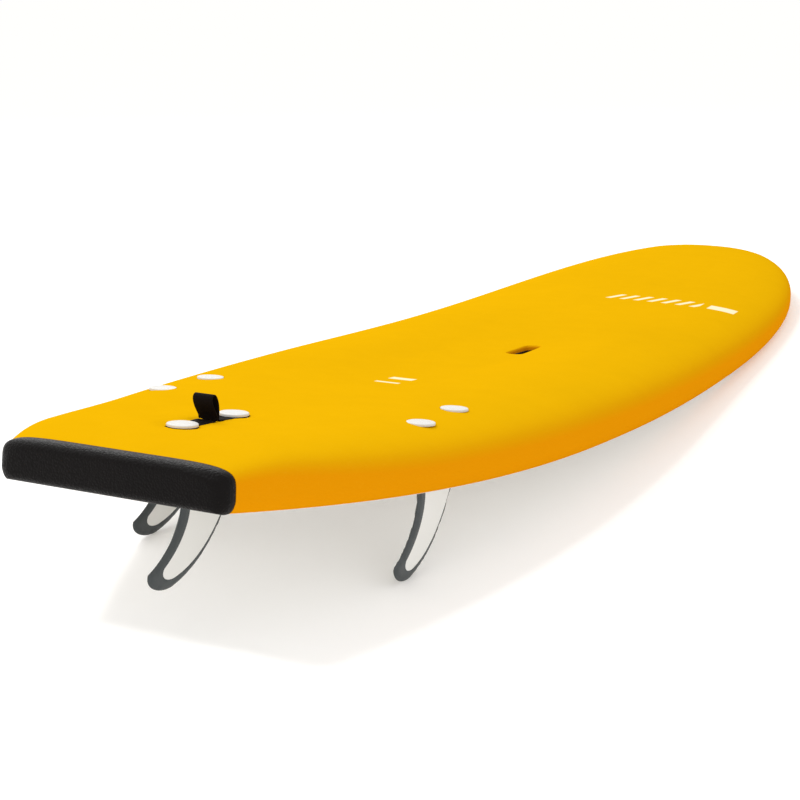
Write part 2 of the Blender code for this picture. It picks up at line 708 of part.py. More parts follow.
def build_bolts(shop, pieces, fin, x, y, toe):
    core = "core_centre" if fin == "centre" else f"core_{fin}"
    for end, bolt_x, bolt_y in bolt_places(x, y, toe):
        label = f"{fin}_{end}"
        deck = deck_z(bolt_x, bolt_y)
        seat = deck - seat_depth(fin)
        well_floor = seat if fin != "centre" else seat + CHANNEL_STEP
        floor = bottom_z(bolt_y)
        stack = GAP if fin != "centre" else STRAP_THICKNESS + 3 * GAP
        cap_low = seat + stack
        cap = turned(f"bolt_cap_{label}", cap_profile(), ROUND_SEGMENTS)
        shop.part(f"bolt_cap_{label}", cap, (WHITE, 0.4, 0.0), (bolt_x, bolt_y, cap_low))

        tip = floor + POST_LENGTH - BOLT_REACH - cap_low
        head = 0.5 * (CAP_POCKET_DEPTH - BOLT_HEAD_THICKNESS)
        profile = [(0, head + BOLT_HEAD_THICKNESS), (BOLT_HEAD_RADIUS, head + BOLT_HEAD_THICKNESS),
                   (BOLT_HEAD_RADIUS, head), (BOLT_SHANK_RADIUS, head), (BOLT_SHANK_RADIUS, tip), (0, tip)]
        bolt = turned(f"bolt_{label}", profile, TUBE_SEGMENTS)
        shop.part(f"bolt_{label}", bolt, (STEEL, 0.3, 1.0), (bolt_x, bolt_y, cap_low))

        sleeve = tube(f"sleeve_{label}", SLEEVE_INNER_RADIUS, SLEEVE_RADIUS, floor, seat - GAP)
        shop.part(f"sleeve_{label}", sleeve, (CLEAR_GREY, 0.4, 0.0), (bolt_x, bolt_y, 0))
        bore = cylinder("sleeve_bore", SLEEVE_BORE_RADIUS, floor - 0.02, deck + 0.02)
        bore = shop.cutter(f"{label}_sleeve_bore", bore, (bolt_x, bolt_y, 0))
        well = cylinder("cap_well", CAP_RADIUS + SEAT_CLEARANCE, well_floor, deck + 0.02, ROUND_SEGMENTS)
        well = shop.cutter(f"{label}_cap_well", well, (bolt_x, bolt_y, 0))
        for name in ("deck_skin", core, "bottom_slick"):
            combine(pieces[name], bore, "DIFFERENCE")
        combine(pieces["deck_skin"], well, "DIFFERENCE")


def cap_profile():
    """A round cap, hollow underneath for the bolt's head."""
    return [
        (0, CAP_THICKNESS), (CAP_RADIUS - CAP_BEVEL, CAP_THICKNESS), (CAP_RADIUS, CAP_THICKNESS - CAP_BEVEL),
        (CAP_RADIUS, 0), (CAP_POCKET_RADIUS, 0), (CAP_POCKET_RADIUS, CAP_POCKET_DEPTH),
        (0, CAP_POCKET_DEPTH)]


# ---------------------------------------------------------------- leash loop
def strap_frame():
    """Height of the channel floor at its middle, and its slope from the rear to the front cap."""
    (_, _, rear_y), (_, _, front_y) = bolt_places(0.0, CENTRE_FIN_Y, 0.0)
    rear = deck_z(0, rear_y) - CENTRE_SEAT_DEPTH
    front = deck_z(0, front_y) - CENTRE_SEAT_DEPTH
    return (rear + front) / 2, math.atan2(front - rear, front_y - rear_y)


def loop_outline():
    """A teardrop of webbing in side view, as (along the board, up), with its eye."""
    def teardrop(half_gap, foot, low, high, steps):
        points = []
        bulge = low + (high - low) * 0.62
        for index in range(steps + 1):
            turn = -math.pi / 2 + math.pi * index / steps
            rise = bulge if turn > 0 else bulge - low
            radius = (high - bulge) if turn > 0 else (bulge - low)
            width = foot + (half_gap - foot) * math.cos(turn) ** 0.8 if turn < 0 else half_gap * math.cos(turn)
            points.append((width, bulge + radius * math.sin(turn)))
        return points + [(-along, up) for along, up in reversed(points[:-1])]

    def leaned(points):
        result = []
        for along, up in points:
            share = up / LOOP_HEIGHT
            result.append((along - LOOP_LEAN * share * share * (3 - 2 * share), up))
        return result

    outer = teardrop(LOOP_HALF_GAP, STRAP_THICKNESS * 0.9, 0.0, LOOP_HEIGHT, 10)
    eye = teardrop(LOOP_HALF_GAP - STRAP_THICKNESS, 0.0003, 3 * STRAP_THICKNESS,
                   LOOP_HEIGHT - STRAP_THICKNESS, 10)
    return leaned(outer), leaned(eye)


def build_leash_loop(shop):
    height, slope = strap_frame()
    turn = (slope, 0.0, 0.0)
    centre = (0, CENTRE_FIN_Y, height)
    half_run = BOLT_SPACING / 2 + STRAP_END
    lift = GAP + STRAP_THICKNESS / 2
    for end, side in (("rear", -1), ("front", 1)):
        length = half_run - LOOP_FOOT
        middle = side * (half_run + LOOP_FOOT) / 2
        name = f"leash_strap_{end}"
        strap = shop.part(name, box(name, (STRAP_WIDTH, length, STRAP_THICKNESS), (0, middle, lift)),
                          (BLACK, 0.85, 0.0), centre, turn)
        hole = cylinder("strap_hole", STRAP_HOLE_RADIUS, -0.01, 0.01)
        hole.transform(Matrix.Translation((0, side * BOLT_SPACING / 2, 0)))
        combine(strap, shop.cutter(f"{name}_hole", hole, centre, turn), "DIFFERENCE")

    outer, eye = loop_outline()
    loop = plate("leash_loop", outer, STRAP_WIDTH, (eye,))
    loop.transform(Matrix(((0, 0, 1, 0), (1, 0, 0, 0), (0, 1, 0, 0), (0, 0, 0, 1))))
    hinge = (0, CENTRE_FIN_Y, height + LOOP_LIFT)
    shop.part("leash_loop", loop, (BLACK, 0.85, 0.0), hinge, turn)


def cut_strap_channel(shop, pieces):
    """The shallow channel that the strap is clamped in."""
    height, slope = strap_frame()
    size = (STRAP_WIDTH + 2 * STRAP_CHANNEL_MARGIN,
            BOLT_SPACING + 2 * (STRAP_END + STRAP_CHANNEL_MARGIN), 0.02)
    channel = box("strap_channel", size, (0, 0, 0.01))
    place = (0, CENTRE_FIN_Y, height)
    channel = shop.cutter("strap_channel", channel, place, (slope, 0.0, 0.0))
    combine(pieces["deck_skin"], channel, "DIFFERENCE")


# ---------------------------------------------------------------- standing on the floor
def world_points(item):
    graph = bpy.context.evaluated_depsgraph_get()
    shaped = item.evaluated_get(graph)
    return [shaped.matrix_world @ vertex.co for vertex in shaped.data.vertices]


def rest_tilt(side_points, belly_points):
    """Nose-down tilt at which the side fins and the belly touch the floor together."""
    def lowest(points, tilt):
        return min(point.z * math.cos(tilt) - point.y * math.sin(tilt) for point in points)

    low = 0.0
    high = math.radians(15)
    for _ in range(40):
        middle = (low + high) / 2
        if lowest(side_points, middle) < lowest(belly_points, middle):
            low = middle
        else:
            high = middle
    return low


def stand_on_floor(shop):
    """Tilts the board frame to its rest, and puts the origin under the middle of the bounding box."""
    bpy.context.view_layer.update()
    parts = [item for item in shop.parts.objects if item.type == "MESH"]
    side = world_points(bpy.data.objects["fin_left_rim"]) + world_points(bpy.data.objects["fin_right_rim"])
    belly = world_points(bpy.data.objects["bottom_slick"])
    shop.frame.rotation_euler.x = -rest_tilt(side, belly)
    bpy.context.view_layer.update()
    points = [point for item in parts for point in world_points(item)]
    lows = [min(point[axis] for point in points) for axis in range(3)]
    highs = [max(point[axis] for point in points) for axis in range(3)]
    middle_x = (lows[0] + highs[0]) / 2
    middle_y = (lows[1] + highs[1]) / 2
    shop.frame.location = (-middle_x, -middle_y, -lows[2])
    bpy.context.view_layer.update()


def clear_scene():
    for item in list(bpy.data.objects):
        bpy.data.objects.remove(item)


def main():
    clear_scene()
    shop = Workshop()
    pieces = build_blank(shop)
    build_slot(shop, pieces)
    cut_strap_channel(shop, pieces)
    for fin, x, y, toe in fin_stations():
        build_fin(shop, fin, x, y, toe)
        build_bolts(shop, pieces, fin, x, y, toe)
    build_leash_loop(shop)
    stand_on_floor(shop)


main()
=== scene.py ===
"""Looks of the soft-top surfboard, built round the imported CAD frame. Lengths are metres.

Shapes are made in the board's own frame: the tail joint lies at y = 0, the nose points along +y,
x runs to starboard and z runs up from the lowest line of the bottom. The matrix BOARD stands them
on the floor, as the CAD pieces stand.
"""
import json
import math

import bmesh
import bpy
import numpy as np
from mathutils import Matrix, Vector
from mathutils.geometry import delaunay_2d_cdt


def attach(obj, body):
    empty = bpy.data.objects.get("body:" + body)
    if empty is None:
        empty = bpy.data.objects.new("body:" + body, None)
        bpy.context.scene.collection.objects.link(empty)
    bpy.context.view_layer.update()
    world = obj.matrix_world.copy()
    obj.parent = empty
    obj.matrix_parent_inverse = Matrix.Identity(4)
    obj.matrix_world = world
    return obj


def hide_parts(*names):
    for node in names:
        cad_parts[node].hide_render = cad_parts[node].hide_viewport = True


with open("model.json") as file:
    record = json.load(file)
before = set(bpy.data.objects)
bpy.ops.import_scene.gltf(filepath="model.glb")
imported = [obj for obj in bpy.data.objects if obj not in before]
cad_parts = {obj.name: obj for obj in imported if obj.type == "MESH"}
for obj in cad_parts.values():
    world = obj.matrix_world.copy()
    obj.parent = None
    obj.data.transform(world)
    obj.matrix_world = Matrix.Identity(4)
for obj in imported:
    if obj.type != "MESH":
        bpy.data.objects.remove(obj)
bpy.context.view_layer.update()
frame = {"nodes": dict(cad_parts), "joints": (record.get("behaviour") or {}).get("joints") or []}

# ---------------------------------------------------------------- dimensions, as in the CAD source
BOARD_LENGTH = 2.476
HALF_WIDTH = 0.301
WIDE_POINT = 1.355
TAIL_HALF_WIDTH = 0.139
TAIL_POWER = 3.34
NOSE_POWER_Y = 3.09
NOSE_POWER_X = 2.31
TAIL_NORMAL_RAMP = 0.15
NOSE_ROCKER = 0.141
NOSE_ROCKER_START = 0.884
NOSE_ROCKER_POWER = 2.25
TAIL_ROCKER = 0.0298
TAIL_ROCKER_START = 0.819
TAIL_ROCKER_POWER = 2.39
THICKNESS = 0.089
TAIL_THICKNESS = 0.060
NOSE_THICKNESS = 0.049
NOSE_THIN_POWER = 2.2
TAIL_ROLL = 0.0125
TAIL_ROLL_LENGTH = 0.10
TAIL_ROLL_POWER = 2.5
RAIL_APEX = 0.229
RAIL_ROUNDNESS = 3.46
TAIL_ROUNDNESS = 6.0
TAIL_ROUNDNESS_LENGTH = 0.30
RAIL_BAND = 0.080
CROWN_POWER = 3.5
CROWN_WIDTH = 0.22
CHINE_INSET = 0.018
TAIL_CHINE_INSET = 0.007
CHINE_FADE = 1.30
CHINE_POWER = 1.5
RECESS_DEPTH = 0.012
RECESS_CENTRE = 0.93
RECESS_HALF_LENGTH = 0.58
RECESS_HALF_WIDTH = 0.19
RECESS_POWER = 2.6
SKIN = 0.005
SLICK = 0.0015
SLICK_PROUD = 0.0005
GAP = 0.0003
BUMPER_DEPTH = 0.020
SLOT_CENTRE = (0.045, 1.052)
SLOT_LENGTH = 0.106
SLOT_WIDTH = 0.024
SLOT_DEPTH = 0.041
SLOT_RIM_DROP = 0.008
SLOT_WALL = 0.002
SLOT_CLEARANCE = 0.0006
BOLT_SPACING = 0.108
CENTRE_FIN_Y = 0.173
SIDE_FIN_Y = 0.4065
SIDE_FIN_X = 0.176
SIDE_FIN_TOE = math.radians(1.7)
CAP_RADIUS = 0.0175
CAP_THICKNESS = 0.0034
SIDE_SEAT_DEPTH = 0.0018
CENTRE_SEAT_DEPTH = 0.0037
SEAT_CLEARANCE = 0.0005
SLEEVE_BORE_RADIUS = 0.0085
POST_RADIUS = 0.0062
POST_INNER_RADIUS = 0.0046
POST_LENGTH = 0.034
INSERT_LENGTH = 0.0180
FIN_BASE_HEIGHT = 0.0060
FIN_BASE_WIDTH = 0.0112
FIN_BASE_ENDS = (-0.0620, 0.0662)
FIN_STANDOFF = 0.0011
FIN_LEADING = ((0.0655, -0.0065), (0.0490, -0.0450), (0.0140, -0.0980), (-0.0570, -0.1165))
FIN_TIP = ((-0.0570, -0.1165), (-0.0830, -0.1215), (-0.1125, -0.1110), (-0.1075, -0.0955))
FIN_TRAILING = ((-0.1075, -0.0955), (-0.0640, -0.0760), (-0.0370, -0.0360), (-0.0530, -0.0065))
PANEL_LEADING = ((0.0595, -0.0040), (0.0425, -0.0430), (0.0060, -0.0920), (-0.0560, -0.1055))
PANEL_TIP = ((-0.0560, -0.1055), (-0.0720, -0.1090), (-0.0880, -0.1020), (-0.0800, -0.0920))
PANEL_TRAILING = ((-0.0800, -0.0920), (-0.0450, -0.0700), (-0.0230, -0.0350), (-0.0370, -0.0040))
FIN_SIZE = {"centre": 0.955, "left": 0.985, "right": 0.985}
FIN_SHIFT = {"centre": -0.0050, "left": -0.0015, "right": -0.0015}
STRAP_WIDTH = 0.024
STRAP_THICKNESS = 0.0016
STRAP_END = 0.0145
LOOP_HEIGHT = 0.030
LOOP_LEAN = 0.0090
LOOP_LIFT = 0.0035
LOOP_FOOT = 0.0045

# ---------------------------------------------------------------- detail of the visible shapes
CAP_DIMPLE = {"centre": 0.0026, "left": 0.0006, "right": 0.0006}
CAP_DIMPLE_REACH = 0.019      # how far from a cap's rim its dimple fades out
STRAP_GROOVE = 0.0022
STRAP_GROOVE_REACH = 0.010
SLOT_LIP = 0.0030
SLOT_SCOOP = 0.0010
SLOT_WALL_INSET = 0.0005
SLOT_SCOOP_REACH = 0.020
BLOCK_STRAIGHT = 0.0030       # depth behind the joint before the block starts to round over
BLOCK_SIDE_ROUND = 0.0180
BLOCK_TOP_ROUND = 0.0105
BLOCK_SHOULDER = 0.7          # how much more its sides draw in at the top than at the bottom
BLOCK_TURNS = 14
CAP_BEVEL = 0.0014
CAP_DOME = 0.0005
FIN_EDGE_THICKNESS = 0.0034   # half of the full thickness
FIN_EDGE_ROUND = 0.0075
FIN_EDGE_TOP = -0.0045        # the dark edge ends this far under the fin's root
FIN_PANEL_THICKNESS = 0.0031  # half of the full thickness
FIN_BASE_RINGS = ((0.0, 0.0004), (-0.0004, 0.0), (-0.0030, 0.0), (-0.0046, 0.0005), (-0.0056, 0.0016),
                  (-FIN_BASE_HEIGHT, 0.0030))  # height and inset
LOOP_FRONT = ((0.00088, 0.0002), (0.00128, 0.004), (0.0029, 0.009), (0.0050, 0.0145), (0.0060, 0.019))
LOOP_REAR = ((-0.0062, 0.019), (-0.0058, 0.0145), (-0.0042, 0.0095), (-0.00168, 0.0045), (-0.00088, 0.0002))
LOOP_CREST_CENTRE = (-0.0001, 0.0205)
LOOP_CREST_RADII = (0.0061, 0.0083)

# how finely the visible shapes are divided
RAIL_ROWS = 90
NOSE_ROWS = 64
RAIL_STEPS = 18
CURVE_STEPS = 14
FIN_LINE_STEP = 0.004
FOIL_SPACING = 0.0042
DECK_GRID = (0.0085, 0.0120)
SLICK_GRID = (0.024, 0.020)
STRAP_GRID = (0.0021, 0.004)
STRAP_REACH = 0.036           # half width of the strap's own grid
CAP_RINGS = (0.0012, 0.003, 0.0055, 0.009, 0.0135, 0.019, 0.0245)
SLOT_RINGS = (0.0, 0.0004, 0.001, 0.002, 0.0033, 0.0047, 0.007, 0.0105, 0.015, 0.0205, 0.027)

# plain printed bars on the deck, as x low, x high, y low, y high
DASH_ROW = (-0.010, 0.172, 1.648, 1.703)
DASH_PITCH = 0.0275
DASH_SLANT = 0.3
PLAIN_BARS = ((0.188, 0.240, 1.656, 1.695), (0.001, 0.036, 0.637, 0.657), (0.001, 0.036, 0.593, 0.603))

# ---------------------------------------------------------------- studio
CAMERA_PLACE = (0.9016, -1.3087, 0.4061)        # these three in the board's frame
CAMERA_RIGHT = (0.9062, 0.4193, 0.0512)
CAMERA_FORWARD = (-0.4066, 0.8983, -0.1661)
CAMERA_LENS = 71.12
SENSOR_WIDTH = 36
FLOOR_SIZE = 400
FLOOR_DROP = 0.0002
FLOOR_COLOUR = (0.82, 0.82, 0.82)
# The floor glows faintly: painted bounce light that lifts the shadows on it.
FLOOR_GLOW = (1.0, 0.95, 0.88, 1.0)
FLOOR_GLOW_STRENGTH = 0.22
WORLD_STRENGTH = 0.965
LIGHTS = (  # name, place, target, size, watts
    ("key", (-2.1, 1.4, 3.1), (0, -0.5, 0), (1.6, 1.2), 54),
    ("top", (-1.0, -2.4, 3.0), (0, -1.2, 0), (0.35, 0.3), 30),
    ("back", (-3.0, 3.4, 2.2), (0, -0.2, 0.1), (3.0, 1.0), 16),
    ("fill", (3.4, -2.6, 1.6), (0, -0.2, 0.1), (2.5, 1.5), 10),
)


# ---------------------------------------------------------------- board shape
def half_width(y):
    if y < WIDE_POINT:
        share = 1 - (1 - y / WIDE_POINT) ** TAIL_POWER
        return TAIL_HALF_WIDTH + (HALF_WIDTH - TAIL_HALF_WIDTH) * share
    t = min((y - WIDE_POINT) / (BOARD_LENGTH - WIDE_POINT), 1.0)
    return HALF_WIDTH * (1 - t ** NOSE_POWER_Y) ** (1 / NOSE_POWER_X)


def bottom_z(y):
    nose = max((y - NOSE_ROCKER_START) / (BOARD_LENGTH - NOSE_ROCKER_START), 0.0)
    tail = max((TAIL_ROCKER_START - y) / TAIL_ROCKER_START, 0.0)
    return NOSE_ROCKER * nose ** NOSE_ROCKER_POWER + TAIL_ROCKER * tail ** TAIL_ROCKER_POWER


def thickness(y):
    middle = BOARD_LENGTH / 2
    if y < middle:
        return THICKNESS - (THICKNESS - TAIL_THICKNESS) * (1 - y / middle) ** 2
    fall = ((y - middle) / (BOARD_LENGTH - middle)) ** NOSE_THIN_POWER
    return THICKNESS - (THICKNESS - NOSE_THICKNESS) * fall


def tail_roll(y):
    return TAIL_ROLL * max(1 - y / TAIL_ROLL_LENGTH, 0.0) ** TAIL_ROLL_POWER


def recess(x, y):
    across = (abs(x) / RECESS_HALF_WIDTH) ** RECESS_POWER
    along = (abs(y - RECESS_CENTRE) / RECESS_HALF_LENGTH) ** RECESS_POWER
    share = max(1 - (across + along) ** (1 / RECESS_POWER), 0.0)
    return RECESS_DEPTH * min(share * share * (3 - 2 * share) * 1.35, 1.0)


def rail_share(inset, radius, y):
    """Height share of the rolled rail; the deck turns over more squarely at the tail."""
    fade = max(1 - y / TAIL_ROUNDNESS_LENGTH, 0.0) ** 2
    power = RAIL_ROUNDNESS + (TAIL_ROUNDNESS - RAIL_ROUNDNESS) * fade
    roll = 1 - (1 - min(inset / radius, 1.0)) ** power
    return RAIL_APEX + (1 - RAIL_APEX) * roll ** (1 / power)


def chine_inset(y):
    """How far the lower edge lies inside the outline. The edge is hard at the tail."""
    share = min(y / CHINE_FADE, 1.0)
    return TAIL_CHINE_INSET + (CHINE_INSET - TAIL_CHINE_INSET) * share * share * (3 - 2 * share)


def rail_radius(width):
    return min(max(width, TAIL_HALF_WIDTH), HALF_WIDTH)


def outline_rows(tail_rows, nose_rows):
    """Outline points as (x, y, normal x, normal y), from the tail to the nose tip."""
    rows = []
    for index in range(tail_rows):
        y = WIDE_POINT * (index / tail_rows) ** 1.25
        step = 0.001
        slope = (half_width(y + step) - half_width(y)) / step
        slope *= min(y / TAIL_NORMAL_RAMP, 1.0)
        size = math.hypot(1, slope)
        rows.append((half_width(y), y, 1 / size, -slope / size))
    for index in range(nose_rows + 1):
        turn = math.pi / 2 * (index / nose_rows) ** 1.1
        across = math.cos(turn) ** (2 / NOSE_POWER_X) if index < nose_rows else 0.0
        along = math.sin(turn) ** (2 / NOSE_POWER_Y)
        normal_x = NOSE_POWER_X * across ** (NOSE_POWER_X - 1) / HALF_WIDTH
        normal_y = NOSE_POWER_Y * along ** (NOSE_POWER_Y - 1) / (BOARD_LENGTH - WIDE_POINT)
        size = math.hypot(normal_x, normal_y)
        y = WIDE_POINT + along * (BOARD_LENGTH - WIDE_POINT)
        rows.append((across * HALF_WIDTH, y, normal_x / size, normal_y / size))
    return rows


def cad_deck_z(x, y):
    """Deck height that the CAD's caps, straps and slot are placed by."""
    width = half_width(y)
    edge = width - RAIL_BAND
    if abs(x) > edge:
        share = rail_share(width - abs(x), rail_radius(width), y)
    else:
        rail = rail_share(RAIL_BAND, rail_radius(width), y)
        share = rail + (1 - rail) * min(edge / CROWN_WIDTH, 1.0) * (1 - (abs(x) / edge) ** CROWN_POWER)
    return bottom_z(y) + share * thickness(y) - tail_roll(y) - recess(x, y)


FIN_STATIONS = (
    ("centre", 0.0, CENTRE_FIN_Y, 0.0),
    ("left", -SIDE_FIN_X, SIDE_FIN_Y, -SIDE_FIN_TOE),
    ("right", SIDE_FIN_X, SIDE_FIN_Y, SIDE_FIN_TOE),
)


def bolt_places(x, y, toe):
    run = BOLT_SPACING / 2
    across = math.sin(toe) * run
    along = math.cos(toe) * run
    return (("rear", x + across, y - along), ("front", x - across, y + along))


def seat_depth(fin):
    return CENTRE_SEAT_DEPTH if fin == "centre" else SIDE_SEAT_DEPTH


BOLTS = [(fin, end, bx, by) for fin, x, y, toe in FIN_STATIONS for end, bx, by in bolt_places(x, y, toe)]


def strap_frame():
    """Height of the straps' floor halfway between the centre caps, and its slope."""
    (_, _, rear_y), (_, _, front_y) = bolt_places(0.0, CENTRE_FIN_Y, 0.0)
    rear = cad_deck_z(0, rear_y) - CENTRE_SEAT_DEPTH
    front = cad_deck_z(0, front_y) - CENTRE_SEAT_DEPTH
    return (rear + front) / 2, math.atan2(front - rear, front_y - rear_y)


# ---------------------------------------------------------------- the board's place on the floor
joints = {joint["name"]: joint for joint in frame["joints"]}
bolt_axis = Vector(joints["bolt_centre_rear_turn"]["axis"])
TILT = Matrix.Rotation(-math.atan2(bolt_axis.y, bolt_axis.z), 4, "X")
loop_hinge = Vector(joints["leash_loop_fold"]["pos_m"])
hinge_in_board = Vector((0, CENTRE_FIN_Y, strap_frame()[0] + LOOP_LIFT))
BOARD = Matrix.Translation(loop_hinge - TILT @ hinge_in_board) @ TILT


# ---------------------------------------------------------------- material helpers
class Paint:
    """A node material with short calls for the nodes that the finishes share."""

    def __init__(self, name, colour, roughness, **settings):
        self.material = bpy.data.materials.new(name)
        self.material.use_nodes = True
        self.tree = self.material.node_tree
        self.shader = self.tree.nodes["Principled BSDF"]
        self.shader.inputs["Base Color"].default_value = (*colour, 1.0)
        self.shader.inputs["Roughness"].default_value = roughness
        for key, value in settings.items():
            self.shader.inputs[key.replace("_", " ")].default_value = value
        self.colour = colour
        self.coords = None

    def node(self, kind, **values):
        item = self.tree.nodes.new(kind)
        for key, value in values.items():
            if hasattr(item, key):
                setattr(item, key, value)
            else:
                item.inputs[key.replace("_", " ")].default_value = value
        return item

    def link(self, source, target):
        self.tree.links.new(source, target)

    def place(self, uv=False):
        if self.coords is None:
            self.coords = self.node("ShaderNodeTexCoord")
        return self.coords.outputs["UV" if uv else "Object"]

    def axes(self, source):
        split = self.node("ShaderNodeSeparateXYZ")
        self.link(source, split.inputs[0])
        return split.outputs

    def noise(self, scale, detail=2.0, roughness=0.5, stretch=None):
        source = self.place()
        if stretch:
            mapping = self.node("ShaderNodeMapping")
            mapping.inputs["Scale"].default_value = stretch
            self.link(source, mapping.inputs["Vector"])
            source = mapping.outputs["Vector"]
        texture = self.node("ShaderNodeTexNoise", Scale=scale, Detail=detail, Roughness=roughness)
        self.link(source, texture.inputs["Vector"])
        return texture.outputs["Fac"]

    def cells(self, scale, softness):
        texture = self.node("ShaderNodeTexVoronoi", feature="SMOOTH_F1", Scale=scale, Smoothness=softness)
        self.link(self.place(), texture.inputs["Vector"])
        return texture.outputs["Distance"]

    def math(self, operation, first, second=None, clamp=False):
        item = self.tree.nodes.new("ShaderNodeMath")
        item.operation = operation
        item.use_clamp = clamp
        for slot, value in enumerate((first, second)):
            if value is None:
                continue
            if isinstance(value, (int, float)):
                item.inputs[slot].default_value = value
            else:
                self.link(value, item.inputs[slot])
        return item.outputs[0]

    def weigh(self, first, share, second, other):
        """The sum of two patterns, each times its share."""
        return self.math("ADD", self.math("MULTIPLY", first, share), self.math("MULTIPLY", second, other))

    def remap(self, source, low, high, to_low, to_high):
        item = self.node("ShaderNodeMapRange")
        for key, value in zip(("From Min", "From Max", "To Min", "To Max"), (low, high, to_low, to_high)):
            item.inputs[key].default_value = value
        self.link(source, item.inputs["Value"])
        return item.outputs["Result"]

    def blend(self, factor, first, second):
        item = self.tree.nodes.new("ShaderNodeMix")
        item.data_type = "RGBA"
        sockets = [socket for socket in item.inputs if socket.type == "RGBA"]
        for socket, value in zip(sockets, (first, second)):
            if isinstance(value, tuple):
                socket.default_value = (*value, 1.0)
            else:
                self.link(value, socket)
        self.link(factor, item.inputs["Factor"])
        return next(socket for socket in item.outputs if socket.type == "RGBA")

    def tint(self, source, low, high):
        """Colour drifting from a darker to a lighter shade of the base colour."""
        dark = tuple(channel * low for channel in self.colour)
        light = tuple(min(channel * high, 1.0) for channel in self.colour)
        return self.blend(source, dark, light)

    def finish(self, colour, gloss, height, distance, strength):
        """The material, its colour, roughness and bump each from their own pattern."""
        item = self.node("ShaderNodeBump", Strength=strength, Distance=distance)
        self.link(height, item.inputs["Height"])
        self.link(item.outputs["Normal"], self.shader.inputs["Normal"])
        self.link(colour, self.shader.inputs["Base Color"])
        self.link(gloss, self.shader.inputs["Roughness"])
        return self.material


# ---------------------------------------------------------------- mesh helpers
def link_object(name, data):
    item = bpy.data.objects.new(name, data)
    bpy.context.scene.collection.objects.link(item)
    return item


def mesh_from(name, form):
    mesh = bpy.data.meshes.new(name)
    form.to_mesh(mesh)
    form.free()
    return mesh


def place_piece(name, mesh, body, material, nodes, sharp):
    """An object from a mesh in the board's frame, riding on its body."""
    mesh.transform(BOARD)
    mesh.shade_smooth()
    mesh.set_sharp_from_angle(angle=math.radians(sharp))
    mesh.materials.append(material)
    item = link_object(name, mesh)
    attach(item, body)
    if nodes:
        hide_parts(*nodes)


def make_piece(name, form, body, material, nodes=(), sharp=50, uv=None):
    """A piece from a form in the board's frame. uv is a layer's name, the frame that it is read in,
    and what it takes from a place in that frame."""
    bmesh.ops.recalc_face_normals(form, faces=form.faces)
    mesh = mesh_from(name, form)
    if uv:
        layer_name, matrix, position = uv
        layer = mesh.uv_layers.new(name=layer_name)
        inverse = matrix.inverted()
        for loop in mesh.loops:
            layer.data[loop.index].uv = position(inverse @ mesh.vertices[loop.vertex_index].co)
    place_piece(name, mesh, body, material, nodes, sharp)


def drop_loose(form):
    loose = [vert for vert in form.verts if not vert.link_faces]
    bmesh.ops.delete(form, geom=loose, context="VERTS")


def close_sheet(form, levels, faces):
    """Faces on two levels of the same points, joined by walls along their open edges."""
    edges = {}
    for face in faces:
        form.faces.new([levels[0][index] for index in reversed(face)])
        form.faces.new([levels[1][index] for index in face])
        for index, first in enumerate(face):
            edges[first, face[(index + 1) % len(face)]] = True
    for first, second in edges:
        if (second, first) not in edges:
            form.faces.new((levels[0][first], levels[0][second], levels[1][second], levels[1][first]))


def loft(form, rings, closed=True, caps=True):
    """Faces through rings of points, with flat ends if caps is true."""
    grid = [[form.verts.new(point) for point in ring] for ring in rings]
    count = len(grid[0])
    for lower, upper in zip(grid, grid[1:]):
        for index in range(count if closed else count - 1):
            after = (index + 1) % count
            form.faces.new((lower[index], lower[after], upper[after], upper[index]))
    if caps:
        form.faces.new(list(reversed(grid[0])))
        form.faces.new(grid[-1])
    return grid


def lathe(form, profile, segments, centre):
    """A turned form about the vertical through centre, from a profile with both ends on the axis."""
    rings = []
    for radius, height in profile:
        ring = circle(*centre, radius, segments) if radius else [centre]
        rings.append([form.verts.new((x, y, height)) for x, y in ring])
    for lower, upper in zip(rings, rings[1:]):
        for index in range(segments):
            after = (index + 1) % segments
            if len(lower) == 1:
                form.faces.new((lower[0], upper[after], upper[index]))
            elif len(upper) == 1:
                form.faces.new((lower[index], lower[after], upper[0]))
            else:
                form.faces.new((lower[index], lower[after], upper[after], upper[index]))


def cap_profile(low):
    """Top on the axis, over a slightly domed face and a rounded edge, down to the bottom on the axis."""
    flat = CAP_RADIUS - CAP_BEVEL
    high = low + CAP_THICKNESS
    points = [(0.0, high)]
    for share in (0.35, 0.65, 0.85):
        points.append((flat * share, high - CAP_DOME * (flat * share / CAP_RADIUS) ** 2))
    for index in range(6):
        turn = math.pi / 2 * index / 5
        drop = CAP_DOME + CAP_BEVEL * (1 - math.cos(turn))
        points.append((flat + CAP_BEVEL * math.sin(turn), high - drop))
    return points + [(CAP_RADIUS, low), (0.0, low)]


def cubic(points):
    a, b, c, d = (Vector(point) for point in points)
    result = []
    for index in range(CURVE_STEPS):
        t = index / CURVE_STEPS
        s = 1 - t
        point = a * s ** 3 + b * 3 * s * s * t + c * 3 * s * t * t + d * t ** 3
        result.append((point.x, point.y))
    return result


def stadium(length, width, arc_steps):
    """An outline with straight sides along y and round ends, its straight sides divided as well."""
    radius = width / 2
    straight = length / 2 - radius
    side_steps = 8
    points = []
    for end, start in ((1, 0.0), (-1, math.pi)):
        for index in range(arc_steps + 1):
            turn = start + math.pi * index / arc_steps
            points.append((radius * math.cos(turn), end * straight + radius * math.sin(turn)))
        for index in range(1, side_steps):
            points.append((-end * radius, end * straight * (1 - 2 * index / side_steps)))
    return points


def circle(x, y, radius, segments):
    return [(x + radius * math.cos(2 * math.pi * index / segments),
             y + radius * math.sin(2 * math.pi * index / segments)) for index in range(segments)]


